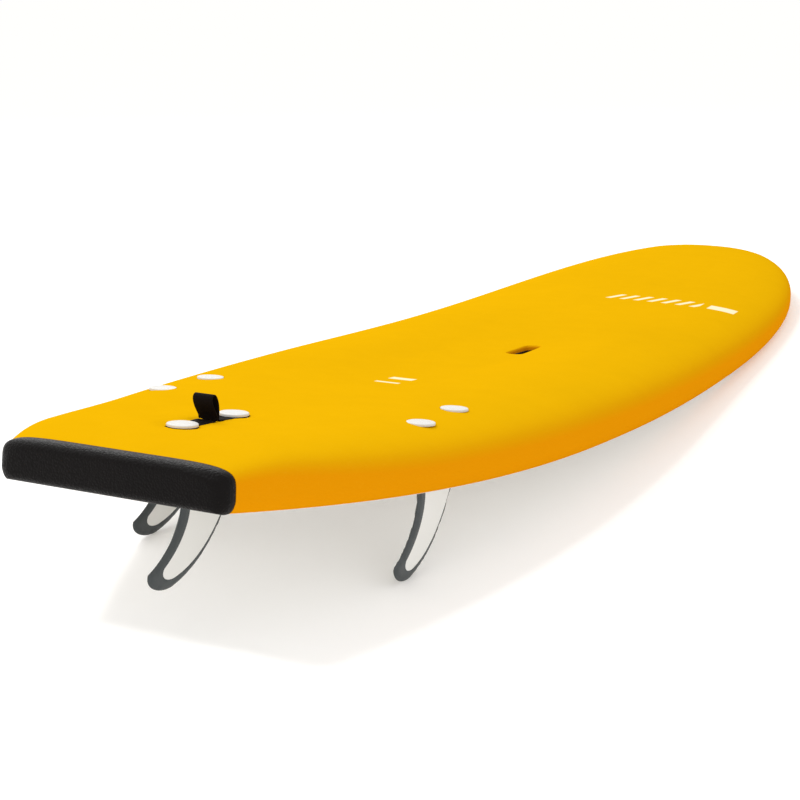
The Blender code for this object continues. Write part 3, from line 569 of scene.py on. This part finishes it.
def triangulate(loops, points, is_hole=lambda x, y: False):
    """Triangles over closed loops and loose points, less those whose middle lies in a hole."""
    coords = []
    edges = []
    for loop in loops:
        first = len(coords)
        coords += [Vector(point[:2]) for point in loop]
        count = len(loop)
        edges += [(first + index, first + (index + 1) % count) for index in range(count)]
    coords += [Vector(point) for point in points]
    verts, _, faces, _, _, _ = delaunay_2d_cdt(coords, edges, [], 1, 1e-7)
    kept = []
    for face in faces:
        middle = sum((verts[index] for index in face), Vector((0, 0))) / len(face)
        if not is_hole(middle.x, middle.y):
            kept.append(face)
    return [(vert.x, vert.y) for vert in verts], kept


def near_bolt(x, y, reach):
    return any(math.hypot(x - bolt_x, y - bolt_y) < reach for _, _, bolt_x, bolt_y in BOLTS)


def slot_distance(x, y, margin):
    """Signed distance outwards from the slot's outline, less the margin."""
    straight = (SLOT_LENGTH - SLOT_WIDTH) / 2
    dx = x - SLOT_CENTRE[0]
    dy = max(abs(y - SLOT_CENTRE[1]) - straight, 0.0)
    return math.hypot(dx, dy) - SLOT_WIDTH / 2 - margin


def smooth(share):
    share = min(max(share, 0.0), 1.0)
    return share * share * (3 - 2 * share)


# ---------------------------------------------------------------- deck surface with its details
EDGE_Y = []
EDGE_X = []
EDGE_SHARE = []
for row_x, row_y, row_nx, row_ny in outline_rows(400, 400):
    EDGE_Y.append(row_y - row_ny * RAIL_BAND)
    EDGE_X.append(max(row_x - row_nx * RAIL_BAND, 0.0))
    EDGE_SHARE.append(rail_share(RAIL_BAND, rail_radius(row_x), row_y))


def details(x, y):
    """How far the skin lies under the plain deck, from the dimples, the strap's groove and the slot."""
    drop = 0.0
    for fin, _, cap_x, cap_y in BOLTS:
        away = math.hypot(x - cap_x, y - cap_y) - CAP_RADIUS - SEAT_CLEARANCE
        if away < CAP_DIMPLE_REACH:
            drop = max(drop, CAP_DIMPLE[fin] * smooth(1 - away / CAP_DIMPLE_REACH))
    half_run = BOLT_SPACING / 2
    away = math.hypot(max(abs(x) - STRAP_WIDTH / 2, 0.0), max(abs(y - CENTRE_FIN_Y) - half_run, 0.0))
    drop = max(drop, STRAP_GROOVE * smooth(1 - away / STRAP_GROOVE_REACH))
    away = slot_distance(x, y, SLOT_CLEARANCE)
    if away < SLOT_SCOOP_REACH:
        drop = max(drop, SLOT_SCOOP * smooth(1 - away / SLOT_SCOOP_REACH))
    if away < SLOT_LIP:
        share = 1 - max(away, 0.0) / SLOT_LIP
        drop += SLOT_LIP * 0.75 * (1 - math.sqrt(max(1 - share * share, 0.0)))
    return drop


def deck_z(x, y):
    """Height of the skin inside the rails, details included."""
    edge = float(np.interp(y, EDGE_Y, EDGE_X))
    rail = float(np.interp(y, EDGE_Y, EDGE_SHARE))
    gain = (1 - rail) * min(edge / CROWN_WIDTH, 1.0)
    across = min(abs(x) / max(edge, 1e-6), 1.0)
    share = rail + gain * (1 - across ** CROWN_POWER)
    return bottom_z(y) + share * thickness(y) - tail_roll(y) - recess(x, y) - details(x, y)


def rail_column(row):
    """Points of one rail from the chine over the widest line to the deck field's edge."""
    x0, y0, normal_x, normal_y = row
    path = []
    for index in range(7):
        drop = 1 - index / 7
        tuck = 1 - (1 - drop ** CHINE_POWER) ** (1 / CHINE_POWER)
        path.append((chine_inset(y0) * tuck, RAIL_APEX * (1 - drop)))
    path.append((0.0, RAIL_APEX))
    for index in range(1, RAIL_STEPS + 1):
        inset = RAIL_BAND * (index / RAIL_STEPS) ** 2.2
        path.append((inset, rail_share(inset, rail_radius(x0), y0)))
    points = []
    for inset, share in path:
        x = max(x0 - normal_x * inset, 0.0)
        y = y0 - normal_y * inset
        rise = max((share - RAIL_APEX) / (1 - RAIL_APEX), 0.0)
        z = bottom_z(y) + share * thickness(y) - tail_roll(y) * rise - recess(x, y)
        points.append(Vector((x, y, z - (details(x, y) if rise > 0.9 else 0.0))))
    return points


def deck_field_points():
    """Grid points over the field, left out where the rings of a detail lie."""
    step_x, step_y = DECK_GRID
    points = []
    for row in range(1, int(BOARD_LENGTH / step_y)):
        y = row * step_y
        edge = float(np.interp(y, EDGE_Y, EDGE_X))
        if y > max(EDGE_Y) - 0.004 or edge < 0.006:
            continue
        count = int((edge - 0.004) / step_x)
        for column in range(-count, count + 1):
            x = (column + 0.5 * (row % 2)) * step_x
            if abs(x) > edge - 0.004:
                continue
            near_cap = near_bolt(x, y, CAP_RADIUS + CAP_DIMPLE_REACH + 0.006)
            near_strap = abs(x) < STRAP_REACH and abs(y - CENTRE_FIN_Y) < BOLT_SPACING / 2
            if not (near_cap or near_strap or slot_distance(x, y, 0.028) < 0):
                points.append((x, y))
    return points


def detail_rings():
    """Rings of points round the caps, the slot and along the strap; the first ones bound holes."""
    holes = []
    points = []
    for _, _, bolt_x, bolt_y in BOLTS:
        hole = CAP_RADIUS + SEAT_CLEARANCE
        holes.append(circle(bolt_x, bolt_y, hole, 64))
        for index, away in enumerate(CAP_RINGS):
            points += circle(bolt_x, bolt_y, hole + away, 64 - 6 * index)
    slot_x, slot_y = SLOT_CENTRE
    for index, away in enumerate(SLOT_RINGS):
        grow = 2 * (SLOT_CLEARANCE + away)
        ring = [(slot_x + x, slot_y + y) for x, y in
                stadium(SLOT_LENGTH + grow, SLOT_WIDTH + grow, 18 - index // 2)]
        if index == 0:
            holes.append(ring)
        else:
            points += ring
    step_x, step_y = STRAP_GRID
    count = int(STRAP_REACH / step_x)
    for row in range(int(BOLT_SPACING / step_y) + 1):
        y = CENTRE_FIN_Y - BOLT_SPACING / 2 + row * step_y
        for column in range(-count, count + 1):
            if not near_bolt(column * step_x, y, CAP_RADIUS + 0.026):
                points.append((column * step_x, y))
    return holes, points


def build_skin(paint):
    rows = outline_rows(RAIL_ROWS, NOSE_ROWS)
    form = bmesh.new()
    columns = [rail_column(row) for row in rows]
    for side in (1, -1):
        rings = [[Vector((side * point.x, point.y, point.z)) for point in column] for column in columns]
        loft(form, rings, closed=False, caps=False)
    slot_x, slot_y = SLOT_CENTRE
    walls = []
    foot = cad_deck_z(slot_x, slot_y) - SLOT_RIM_DROP - SLOT_CLEARANCE
    for share in (0.0, 0.15, 0.35, 0.6, 0.85, 1.0):
        wall = []
        grow = 2 * (SLOT_CLEARANCE - (SLOT_WALL_INSET if share else 0.0))
        for x, y in stadium(SLOT_LENGTH + grow, SLOT_WIDTH + grow, 18):
            edge = deck_z(slot_x + x, slot_y + y)
            wall.append(Vector((slot_x + x, slot_y + y, edge + (foot - edge) * share)))
        walls.append(wall)
    loft(form, walls, caps=False)
    boundary = [column[-1] for column in columns]
    tail = [Vector((x, 0, 0)) for x in np.linspace(-boundary[0].x, boundary[0].x, 15)[1:-1]]
    loop = [(point.x, point.y) for point in boundary]
    loop += [(-point.x, point.y) for point in reversed(boundary[:-1])]
    loop += [(point.x, point.y) for point in tail]
    holes, rings = detail_rings()

    def is_hole(x, y):
        under_cap = near_bolt(x, y, CAP_RADIUS + SEAT_CLEARANCE * 0.9)
        return under_cap or slot_distance(x, y, SLOT_CLEARANCE) < -0.0001

    verts, faces = triangulate([loop] + holes, deck_field_points() + rings, is_hole)
    heights = {}
    for point in boundary:
        heights[(round(point.x, 6), round(point.y, 6))] = point.z
        heights[(round(-point.x, 6), round(point.y, 6))] = point.z
    made = [form.verts.new((x, y, heights.get((round(x, 6), round(y, 6)), deck_z(x, y)))) for x, y in verts]
    for face in faces:
        form.faces.new([made[index] for index in face])
    bmesh.ops.remove_doubles(form, verts=form.verts, dist=0.00005)
    bmesh.ops.dissolve_degenerate(form, edges=form.edges, dist=0.00002)
    drop_loose(form)
    bmesh.ops.recalc_face_normals(form, faces=form.faces)
    form.normal_update()
    layer = form.loops.layers.uv.new("board")
    for face in form.faces:
        for corner in face.loops:
            corner[layer].uv = corner.vert.co.xy
    if max(form.faces, key=lambda face: face.calc_center_median().z).normal.z < 0:
        bmesh.ops.reverse_faces(form, faces=form.faces)
    mesh = mesh_from("skin_outer", form)
    source = link_object("skin_outer", mesh)
    solid = source.modifiers.new("thickness", "SOLIDIFY")
    solid.thickness = SKIN
    solid.offset = -1
    solid.use_rim = True
    graph = bpy.context.evaluated_depsgraph_get()
    result = bpy.data.meshes.new_from_object(source.evaluated_get(graph))
    bpy.data.objects.remove(source)
    bpy.data.meshes.remove(mesh)
    result.name = "skin"
    place_piece("skin", result, "board", paint, ["deck_skin"], 55)


def build_slick(paint):
    """The bottom sheet: flat across, rockered along, with the six sleeve bores."""
    loop = []
    for x0, y0, normal_x, normal_y in outline_rows(RAIL_ROWS, NOSE_ROWS):
        inset = chine_inset(y0) + 2 * GAP
        loop.append((max(x0 - normal_x * inset, 0.0), y0 - normal_y * inset))
    loop += [(-x, y) for x, y in reversed(loop[:-1])]
    holes = [circle(bolt_x, bolt_y, SLEEVE_BORE_RADIUS, 32) for _, _, bolt_x, bolt_y in BOLTS]
    step_x, step_y = SLICK_GRID
    count = int(HALF_WIDTH / step_x)
    points = []
    for row in range(1, int(BOARD_LENGTH / step_y) - 1):
        y = row * step_y
        beside = [x for x, along in loop if abs(along - y) < step_y and x > 0]
        edge = min(beside) - 0.01 if beside else 0.0
        for column in range(-count, count + 1):
            x = column * step_x
            if abs(x) < edge and not near_bolt(x, y, 0.012):
                points.append((x, y))
    bore = SLEEVE_BORE_RADIUS * 0.98
    verts, faces = triangulate([loop] + holes, points, lambda x, y: near_bolt(x, y, bore))
    form = bmesh.new()
    levels = [[form.verts.new((x, y, bottom_z(y) - SLICK_PROUD + lift)) for x, y in verts]
              for lift in (0.0, SLICK)]
    close_sheet(form, levels, faces)
    drop_loose(form)
    make_piece("bottom_sheet", form, "board", paint, ["bottom_slick"])


def tail_section():
    """The tail joint's section as (x, z), from the port chine over the deck and back underneath."""
    row = outline_rows(2, 2)[0]
    half = [(point.x, point.z) for point in rail_column(row)]
    edge = half[-1][0]
    half += [(edge * (1 - index / 10), deck_z(edge * (1 - index / 10), 0.0)) for index in range(1, 11)]
    port = [(-x, z) for x, z in half]
    starboard = list(reversed(half[:-1]))
    width = half[0][0]
    under = [(width * (1 - 2 * (index + 1) / 16), half[0][1]) for index in range(15)]
    return port + starboard + under


def build_bumper(paint):
    """The tail block: a smooth border behind the joint, then a rounded shoulder and a flat face."""
    section = tail_section()
    half_span = max(x for x, _ in section)
    low = min(z for _, z in section)
    high = max(z for _, z in section)
    middle = (low + high) / 2
    half_height = (high - low) / 2
    steps = [(0.0, 0.0004, 0.0004), (0.0006, 0.0, 0.0), (BLOCK_STRAIGHT, 0.0001, 0.0)]
    for index in range(1, BLOCK_TURNS + 1):
        turn = math.pi / 2 * index / BLOCK_TURNS
        depth = BLOCK_STRAIGHT + (BUMPER_DEPTH - BLOCK_STRAIGHT) * math.sin(turn)
        round_side = BLOCK_SIDE_ROUND * (1 - math.cos(turn))
        round_top = BLOCK_TOP_ROUND * (1 - math.cos(turn)) ** 1.25
        steps.append((depth, round_side, round_top))
    steps.append((BUMPER_DEPTH + 0.0002, BLOCK_SIDE_ROUND + 0.012, BLOCK_TOP_ROUND + 0.008))
    form = bmesh.new()
    rings = []
    for depth, side, top in steps:
        upright = 1 - top / half_height
        ring = []
        for x, z in section:
            height = (z - low) / (high - low)
            across = 1 - side * (1 + BLOCK_SHOULDER * height ** 3) / half_span
            ring.append(Vector((x * across, -GAP - depth, middle + (z - middle) * upright)))
        rings.append(ring)
    loft(form, rings)
    make_piece("tail_block", form, "board", paint, ["tail_bumper"], 60,
               ("depth", Matrix(), lambda local: (-local.y, local.z)))


# ---------------------------------------------------------------- carry slot
def build_cup(paint):
    """The slot's cup: a thin wall with a rounded rim and a dished floor."""
    x, y = SLOT_CENTRE
    top = cad_deck_z(x, y) - SLOT_RIM_DROP
    low = top - SLOT_DEPTH
    rim = SLOT_WALL / 2
    outer = [(0.0, low), (0.0, top - rim), (0.0003, top - rim * 0.4), (rim, top)]
    inner = [(2 * rim - 0.0003, top - rim * 0.4), (2 * rim, top - rim), (2 * rim, low + 0.007),
             (2 * rim + 0.0012, low + 0.0035), (2 * rim + 0.004, low + SLOT_WALL)]
    form = bmesh.new()
    rings = []
    for inset, height in outer + inner:
        ring = stadium(SLOT_LENGTH - 2 * inset, SLOT_WIDTH - 2 * inset, 16)
        rings.append([Vector((x + px, y + py, height)) for px, py in ring])
    loft(form, rings)
    make_piece("slot_cup", form, "board", paint, ["carry_slot_cup"])


# ---------------------------------------------------------------- fins
def fin_outline(curves, fin):
    """A fin's outline from its cubic curves, at that fin's size and place, in short steps."""
    points = []
    for curve in curves:
        points += cubic(curve)
    points.append(curves[-1][-1])
    root = points[0][1]
    size = FIN_SIZE[fin]
    points = [(along * size + FIN_SHIFT[fin], root + (away - root) * size) for along, away in points]
    result = []
    for (ax, ay), (bx, by) in zip(points, points[1:]):
        count = max(int(math.hypot(bx - ax, by - ay) / FIN_LINE_STEP), 1)
        for index in range(count):
            share = index / count
            result.append((ax + (bx - ax) * share, ay + (by - ay) * share))
    return result + [points[-1]]


def distance_to(polyline, x, y):
    line = np.array(polyline)
    start = line[:-1]
    run = line[1:] - start
    share = ((np.array((x, y)) - start) * run).sum(1) / np.maximum((run * run).sum(1), 1e-12)
    nearest = start + run * np.clip(share, 0, 1)[:, None]
    return float(np.sqrt(((nearest - (x, y)) ** 2).sum(1)).min())


def foil_body(outline, rim_line, half_thickness, place):
    """A closed blade: two curved faces over a flat region, joined by walls along its edge.
    Its thickness goes by the distance from the rim line, as a foil's does."""
    xs = [point[0] for point in outline]
    ys = [point[1] for point in outline]
    points = []
    for row in range(1, int((max(ys) - min(ys)) / FOIL_SPACING)):
        for column in range(1, int((max(xs) - min(xs)) / FOIL_SPACING)):
            x = min(xs) + (column + 0.5 * (row % 2)) * FOIL_SPACING
            y = min(ys) + row * FOIL_SPACING
            if inside(outline, x, y) and distance_to(outline + outline[:1], x, y) > FOIL_SPACING * 0.55:
                points.append((x, y))
    verts, faces = triangulate([outline], points)
    depths = [half_thickness(distance_to(rim_line, x, y)) for x, y in verts]
    form = bmesh.new()
    levels = [[form.verts.new(place(x, y, side * depth)) for (x, y), depth in zip(verts, depths)]
              for side in (-1, 1)]
    close_sheet(form, levels, faces)
    return form


def inside(outline, x, y):
    crossings = False
    for (ax, ay), (bx, by) in zip(outline, outline[1:] + outline[:1]):
        if (ay > y) != (by > y) and x < (bx - ax) * (y - ay) / (by - ay) + ax:
            crossings = not crossings
    return crossings


def shifted(line, distance):
    """A polyline moved sideways, to its right for a positive distance."""
    moved = []
    count = len(line)
    for index, (x, y) in enumerate(line):
        before = line[max(index - 1, 0)]
        after = line[min(index + 1, count - 1)]
        run = after[0] - before[0]
        rise = after[1] - before[1]
        size = math.hypot(run, rise)
        moved.append((x - rise / size * distance, y + run / size * distance))
    return moved


def build_fin(fin, x, y, toe, panel_paint, rim_paint):
    slope = math.atan2(bottom_z(y + BOLT_SPACING / 2) - bottom_z(y - BOLT_SPACING / 2), BOLT_SPACING)
    height = bottom_z(y) - SLICK_PROUD - FIN_STANDOFF
    turn = Matrix.Rotation(toe, 4, "Z") @ Matrix.Rotation(slope, 4, "X")
    root = Matrix.Translation((x, y, height)) @ turn

    def place(along, away, side):
        return root @ Vector((side, along, away))

    panel = fin_outline((PANEL_LEADING, PANEL_TIP, PANEL_TRAILING), fin)
    rim = fin_outline((FIN_LEADING, FIN_TIP, FIN_TRAILING), fin)

    def rim_thickness(away):
        rise = math.sqrt(max(1 - (1 - min(away / FIN_EDGE_ROUND, 1.0)) ** 2, 0.0))
        return FIN_EDGE_THICKNESS * min(0.12 + 0.88 * rise, 1.0)

    body = f"fin_{fin}"
    trimmed = [(px, min(py, FIN_EDGE_TOP)) for px, py in shifted(panel, GAP)]
    form = foil_body(rim + list(reversed(trimmed)), rim, rim_thickness, place)
    make_piece(f"{body}_edge", form, body, rim_paint, [f"{body}_rim"], 40)
    form = foil_body(panel, rim, lambda away: FIN_PANEL_THICKNESS, place)
    make_piece(f"{body}_blade", form, body, panel_paint, [f"{body}_panel"], 40,
               ("blade", root, lambda local: (local.y, local.z)))
    make_piece(f"{body}_base", fin_base(root), body, panel_paint, sharp=40)
    for end, bolt_x, bolt_y in bolt_places(x, y, toe):
        top = bottom_z(bolt_y) + POST_LENGTH
        low = height - FIN_BASE_HEIGHT / 2
        bore = top - INSERT_LENGTH - GAP
        form = bmesh.new()
        lathe(form, [(0, bore), (POST_INNER_RADIUS, bore), (POST_INNER_RADIUS, top - 0.0004),
                     (POST_INNER_RADIUS + 0.0004, top), (POST_RADIUS - 0.0005, top),
                     (POST_RADIUS, top - 0.0005), (POST_RADIUS, low), (0, low)], 40, (bolt_x, bolt_y))
        make_piece(f"{body}_post_{end}", form, body, panel_paint)


def fin_base(root):
    """The fin's foot: a long low bar with rounded ends and soft lower edges."""
    rear, front = FIN_BASE_ENDS
    rings = []
    for away, inset in FIN_BASE_RINGS:
        ring = stadium(front - rear - 2 * inset, FIN_BASE_WIDTH - 2 * inset, 12)
        rings.append([root @ Vector((x, (front + rear) / 2 + y, away)) for x, y in ring])
    form = bmesh.new()
    loft(form, rings)
    return form


# ---------------------------------------------------------------- caps, straps and loop
def build_caps(paint):
    for fin, end, bolt_x, bolt_y in BOLTS:
        stack = GAP if fin != "centre" else STRAP_THICKNESS + 3 * GAP
        low = cad_deck_z(bolt_x, bolt_y) - seat_depth(fin) + stack
        form = bmesh.new()
        lathe(form, cap_profile(low), 64, (bolt_x, bolt_y))
        make_piece(f"cap_{fin}_{end}", form, f"bolt_{fin}_{end}", paint,
                   [f"bolt_cap_{fin}_{end}"], 60)


def build_webbing(name, line, width, thick, matrix, body, node, paint):
    """A flat strap with rounded edges, swept along points (x shift, along, up) in the matrix's frame."""
    half = width / 2
    edge = half - thick * 0.35
    section = [(-half, -thick / 4)]
    section += [(across, -thick / 2) for across in (-edge, -half / 2, 0, half / 2, edge)]
    section.append((half, -thick / 4))
    section += [(across, -out) for across, out in reversed(section)]
    rings = []
    for index, (shift, along, up) in enumerate(line):
        before = line[max(index - 1, 0)]
        after = line[min(index + 1, len(line) - 1)]
        run = after[1] - before[1]
        rise = after[2] - before[2]
        size = math.hypot(run, rise)
        rings.append([matrix @ Vector((shift + across, along - rise / size * out, up + run / size * out))
                      for across, out in section])
    form = bmesh.new()
    loft(form, rings)
    make_piece(name, form, body, paint, [node],
               uv=("weave", matrix, lambda local: (local.x, local.y + local.z)))


def build_straps(paint):
    """Two clamped ends under the centre caps, and the loop that stands between them."""
    floor, slope = strap_frame()
    tilt = Matrix.Rotation(slope, 4, "X")
    place = Matrix.Translation((0, CENTRE_FIN_Y, floor)) @ tilt
    lift = GAP + STRAP_THICKNESS / 2
    half_run = BOLT_SPACING / 2
    for end, side in (("rear", -1), ("front", 1)):
        line = []
        for index in range(25):
            along = LOOP_FOOT + (half_run + STRAP_END - 0.0015 - LOOP_FOOT) * index / 24
            rise = 0.0014 * smooth(1 - (along - LOOP_FOOT) / (half_run - CAP_RADIUS - LOOP_FOOT))
            line.append((side * 0.002 * along / half_run, side * along, lift + rise))
        build_webbing(f"strap_{end}", line[::side], STRAP_WIDTH, STRAP_THICKNESS, place,
                      "board", f"leash_strap_{end}", paint)

    hinge = Matrix.Translation((0, CENTRE_FIN_Y, floor + LOOP_LIFT)) @ tilt
    crest = []
    for index in range(1, 10):
        turn = math.pi * index / 10
        crest.append((LOOP_CREST_CENTRE[0] + LOOP_CREST_RADII[0] * math.cos(turn),
                      LOOP_CREST_CENTRE[1] + LOOP_CREST_RADII[1] * math.sin(turn)))
    line = []
    for along, up in (*LOOP_FRONT, *crest, *LOOP_REAR):
        share = smooth(up / LOOP_HEIGHT)
        line.append((-0.0010 * share, along - LOOP_LEAN * share, up))
    build_webbing("leash_loop_webbing", line, STRAP_WIDTH + 0.0012, STRAP_THICKNESS * 0.94, hinge,
                  "leash_loop", "leash_loop", paint)


# ---------------------------------------------------------------- finishes
def simple_paint(name, colour, roughness, grain, depth, spread, **settings):
    """A finish with a fine grain, a slow drift of shade and an uneven gloss."""
    paint = Paint(name, colour, roughness, **settings)
    fine = paint.noise(grain, 3.0, 0.6)
    shade = paint.tint(paint.noise(grain * 0.03), 1 - spread, 1 + spread)
    gloss = paint.remap(fine, 0.25, 0.75, roughness - 0.07, roughness + 0.09)
    return paint.finish(shade, gloss, fine, depth, 0.6)


def skin_paint():
    """Closed-cell foam skin: pebbled grain, painted shade that turns the side-facing rails a deeper orange,
    pale speckles painted as glints on the grain, and a pale printed pattern.
    """
    paint = Paint("yellow_foam", (0.655, 0.352, 0.0014), 0.5, Specular_IOR_Level=0.0)
    pebble = paint.cells(520, 0.35)
    fine = paint.noise(950, 3.0, 0.6)
    patch = paint.noise(26, 3.0, 0.55)
    drift = paint.weigh(paint.noise(3.2), 0.6, patch, 0.4)
    # Painted shade: surfaces that face sideways, such as the rails, blend to a deeper orange by their facing.
    facing = paint.axes(paint.node("ShaderNodeNewGeometry").outputs["Normal"])
    lit_from_above = paint.remap(facing[2], 0.15, 0.97, 0.0, 1.0)
    yellow = paint.blend(lit_from_above, (0.70, 0.262, 0.0012), paint.tint(drift, 0.93, 1.07))
    # Painted glints: pale speckles on the crests of the fine grain stand in for sparkle off the skin.
    yellow = paint.blend(paint.remap(fine, 0.60, 0.74, 0.0, 0.16), yellow, (0.95, 0.66, 0.06))
    faded = paint.math("MULTIPLY", print_mask(paint), paint.remap(fine, 0.2, 0.7, 0.82, 1.0))
    gloss = paint.remap(paint.weigh(pebble, 0.18, patch, 0.14), 0.05, 0.26, 0.40, 0.58)
    return paint.finish(paint.blend(faded, yellow, (0.84, 0.74, 0.50)), gloss,
                        paint.weigh(pebble, 0.7, fine, 0.3), 0.00022, 0.55)


def bar(paint, x, y, limits, soft=0.0006):
    """One inside a rectangle of board coordinates and nought outside."""
    edges = []
    for source, low, high in ((x, *limits[:2]), (y, *limits[2:])):
        rise = paint.remap(source, low - soft, low + soft, 0.0, 1.0)
        fall = paint.remap(source, high - soft, high + soft, 1.0, 0.0)
        edges.append(paint.math("MULTIPLY", rise, fall))
    return paint.math("MULTIPLY", *edges)


def print_mask(paint):
    """Plain printed bars: a row of slanted dashes ahead of the slot, and plain ones beside and behind."""
    x, y, _ = paint.axes(paint.place(uv=True))
    slanted = paint.math("SUBTRACT", x, paint.math("MULTIPLY", y, DASH_SLANT))
    phase = paint.math("FRACT", paint.math("DIVIDE", paint.math("ADD", slanted, 1.0), DASH_PITCH))
    rise = paint.remap(phase, 0.0, 0.04, 0.0, 1.0)
    dash = paint.math("MULTIPLY", rise, paint.remap(phase, 0.40, 0.44, 1.0, 0.0))
    total = paint.math("MULTIPLY", dash, bar(paint, x, y, DASH_ROW))
    for limits in PLAIN_BARS:
        total = paint.math("ADD", total, bar(paint, x, y, limits), clamp=True)
    return total


def block_paint():
    """Black tail rubber: coarse pebbled grain with glossy crests, and a smooth border at the joint."""
    paint = Paint("tail_rubber", (0.0024, 0.0015, 0.0013), 0.28, Specular_IOR_Level=0.10)
    pebble = paint.cells(430, 0.25)
    height = paint.weigh(pebble, 0.75, paint.noise(1300, 3.0, 0.65), 0.25)
    grained = paint.remap(paint.axes(paint.place(uv=True))[0], 0.0075, 0.0095, 0.12, 1.0)
    return paint.finish(paint.tint(paint.noise(30, 3.0), 0.7, 1.5), paint.remap(pebble, 0.1, 0.6, 0.30, 0.52),
                        paint.math("MULTIPLY", height, grained), 0.0008, 0.9)


def webbing_paint():
    """Woven polyester: ribs across the strap and fine threads between them."""
    paint = Paint("woven_webbing", (0.0060, 0.0042, 0.0038), 0.8, Specular_IOR_Level=0.05)
    x, y, _ = paint.axes(paint.place(uv=True))
    across = paint.math("SINE", paint.math("MULTIPLY", x, 2 * math.pi / 0.0016))
    along = paint.math("SINE", paint.math("MULTIPLY", y, 2 * math.pi / 0.0011))
    rib = paint.remap(paint.math("MULTIPLY", across, along), -1.0, 1.0, 0.0, 1.0)
    fuzz = paint.noise(1800)
    height = paint.weigh(rib, 0.8, fuzz, 0.2)
    gloss = paint.remap(fuzz, 0.3, 0.7, 0.7, 0.88)
    # Colour follows the weave's height: painted shade in its hollows and painted highlights on its ribs.
    return paint.finish(paint.tint(height, 0.6, 1.8), gloss, height, 0.0003, 0.9)


def wood_paint():
    paint = Paint("ply_stringer", (0.50, 0.32, 0.16), 0.6)
    grain = paint.noise(60, 4.0, 0.6, stretch=(6.0, 0.25, 6.0))
    fibre = paint.noise(900, 2.0, 0.6, stretch=(1.0, 0.05, 1.0))
    gloss = paint.remap(fibre, 0.3, 0.7, 0.5, 0.7)
    return paint.finish(paint.tint(grain, 0.72, 1.2), gloss, fibre, 0.0002, 0.5)


def foam_paint():
    paint = Paint("bead_foam", (0.88, 0.88, 0.85), 0.85)
    bead = paint.cells(300, 0.2)
    gloss = paint.remap(bead, 0.0, 0.6, 0.78, 0.92)
    return paint.finish(paint.tint(bead, 0.92, 1.03), gloss, bead, 0.0008, 0.6)


def metal_paint(name, colour, roughness):
    """Turned metal: fine rings of scratches round the screw's axis."""
    paint = Paint(name, colour, roughness, Metallic=1.0)
    scratch = paint.noise(700, 2.0, 0.6, stretch=(0.15, 0.15, 4.0))
    gloss = paint.remap(scratch, 0.3, 0.7, roughness - 0.08, roughness + 0.12)
    return paint.finish(paint.tint(paint.noise(90), 0.85, 1.08), gloss, scratch, 0.00005, 0.5)


# ---------------------------------------------------------------- build
fin_white = simple_paint("fin_white", (0.80, 0.79, 0.755), 0.36, 700, 0.00006, 0.02)
fin_charcoal = simple_paint("fin_charcoal", (0.040, 0.047, 0.049), 0.52, 900, 0.00010, 0.12)
build_skin(skin_paint())
build_slick(simple_paint("bottom_white", (0.80, 0.79, 0.76), 0.30, 420, 0.00008, 0.03))
build_bumper(block_paint())
build_cup(simple_paint("slot_black", (0.006, 0.003, 0.0025), 0.6, 900, 0.00012, 0.2,
                       Specular_IOR_Level=0.08))
for station in FIN_STATIONS:
    build_fin(*station, fin_white, fin_charcoal)
build_caps(simple_paint("cap_white", (0.62, 0.605, 0.575), 0.42, 800, 0.00002, 0.02,
                        Specular_IOR_Level=0.2))
build_straps(webbing_paint())

hidden_finish = {
    "insert": metal_paint("insert_brass", (0.70, 0.52, 0.22), 0.28),
    "core": foam_paint(),
    "stringer": wood_paint(),
    "sleeve": simple_paint("sleeve_grey", (0.50, 0.51, 0.53), 0.42, 700, 0.00006, 0.05),
    "bolt_": metal_paint("screw_steel", (0.60, 0.60, 0.60), 0.30),
}
for node_name, node in frame["nodes"].items():
    if not node.hide_render:
        node.data.materials.clear()
        node.data.materials.append(next(hidden_finish[key] for key in hidden_finish if key in node_name))


# ---------------------------------------------------------------- floor, light and camera
def build_floor():
    form = bmesh.new()
    bmesh.ops.create_grid(form, x_segments=1, y_segments=1, size=FLOOR_SIZE)
    mesh = mesh_from("studio_floor", form)
    item = link_object("studio_floor", mesh)
    paint = Paint("floor_white", FLOOR_COLOUR, 0.9, Specular_IOR_Level=0.0)
    # A faint glow on the floor: painted bounce light that lifts the shadows on it.
    paint.shader.inputs["Emission Color"].default_value = FLOOR_GLOW
    paint.shader.inputs["Emission Strength"].default_value = FLOOR_GLOW_STRENGTH
    mesh.materials.append(paint.material)
    item.location.z = -FLOOR_DROP


def area_light(name, location, target, size, power):
    data = bpy.data.lights.new(name, "AREA")
    data.shape = "RECTANGLE"
    data.size, data.size_y = size
    data.energy = power
    item = link_object(name, data)
    item.location = location
    item.rotation_euler = (Vector(target) - Vector(location)).to_track_quat("-Z", "Y").to_euler()


def build_camera():
    data = bpy.data.cameras.new("photo_camera")
    data.sensor_width = SENSOR_WIDTH
    data.lens = CAMERA_LENS
    item = link_object("photo_camera", data)
    right = TILT.to_3x3() @ Vector(CAMERA_RIGHT)
    forward = TILT.to_3x3() @ Vector(CAMERA_FORWARD)
    up = right.cross(forward).normalized()
    right = forward.cross(up).normalized()
    rotation = Matrix((right, up, -forward)).transposed()
    item.matrix_world = Matrix.Translation(BOARD @ Vector(CAMERA_PLACE)) @ rotation.to_4x4()
    bpy.context.scene.camera = item


build_floor()
world = bpy.data.worlds.new("studio")
bpy.context.scene.world = world
world.use_nodes = True
background = world.node_tree.nodes["Background"]
background.inputs["Color"].default_value = (1.0, 1.0, 1.0, 1.0)
background.inputs["Strength"].default_value = WORLD_STRENGTH
for light in LIGHTS:
    area_light(*light)
bpy.context.scene.view_settings.view_transform = "Standard"
build_camera()
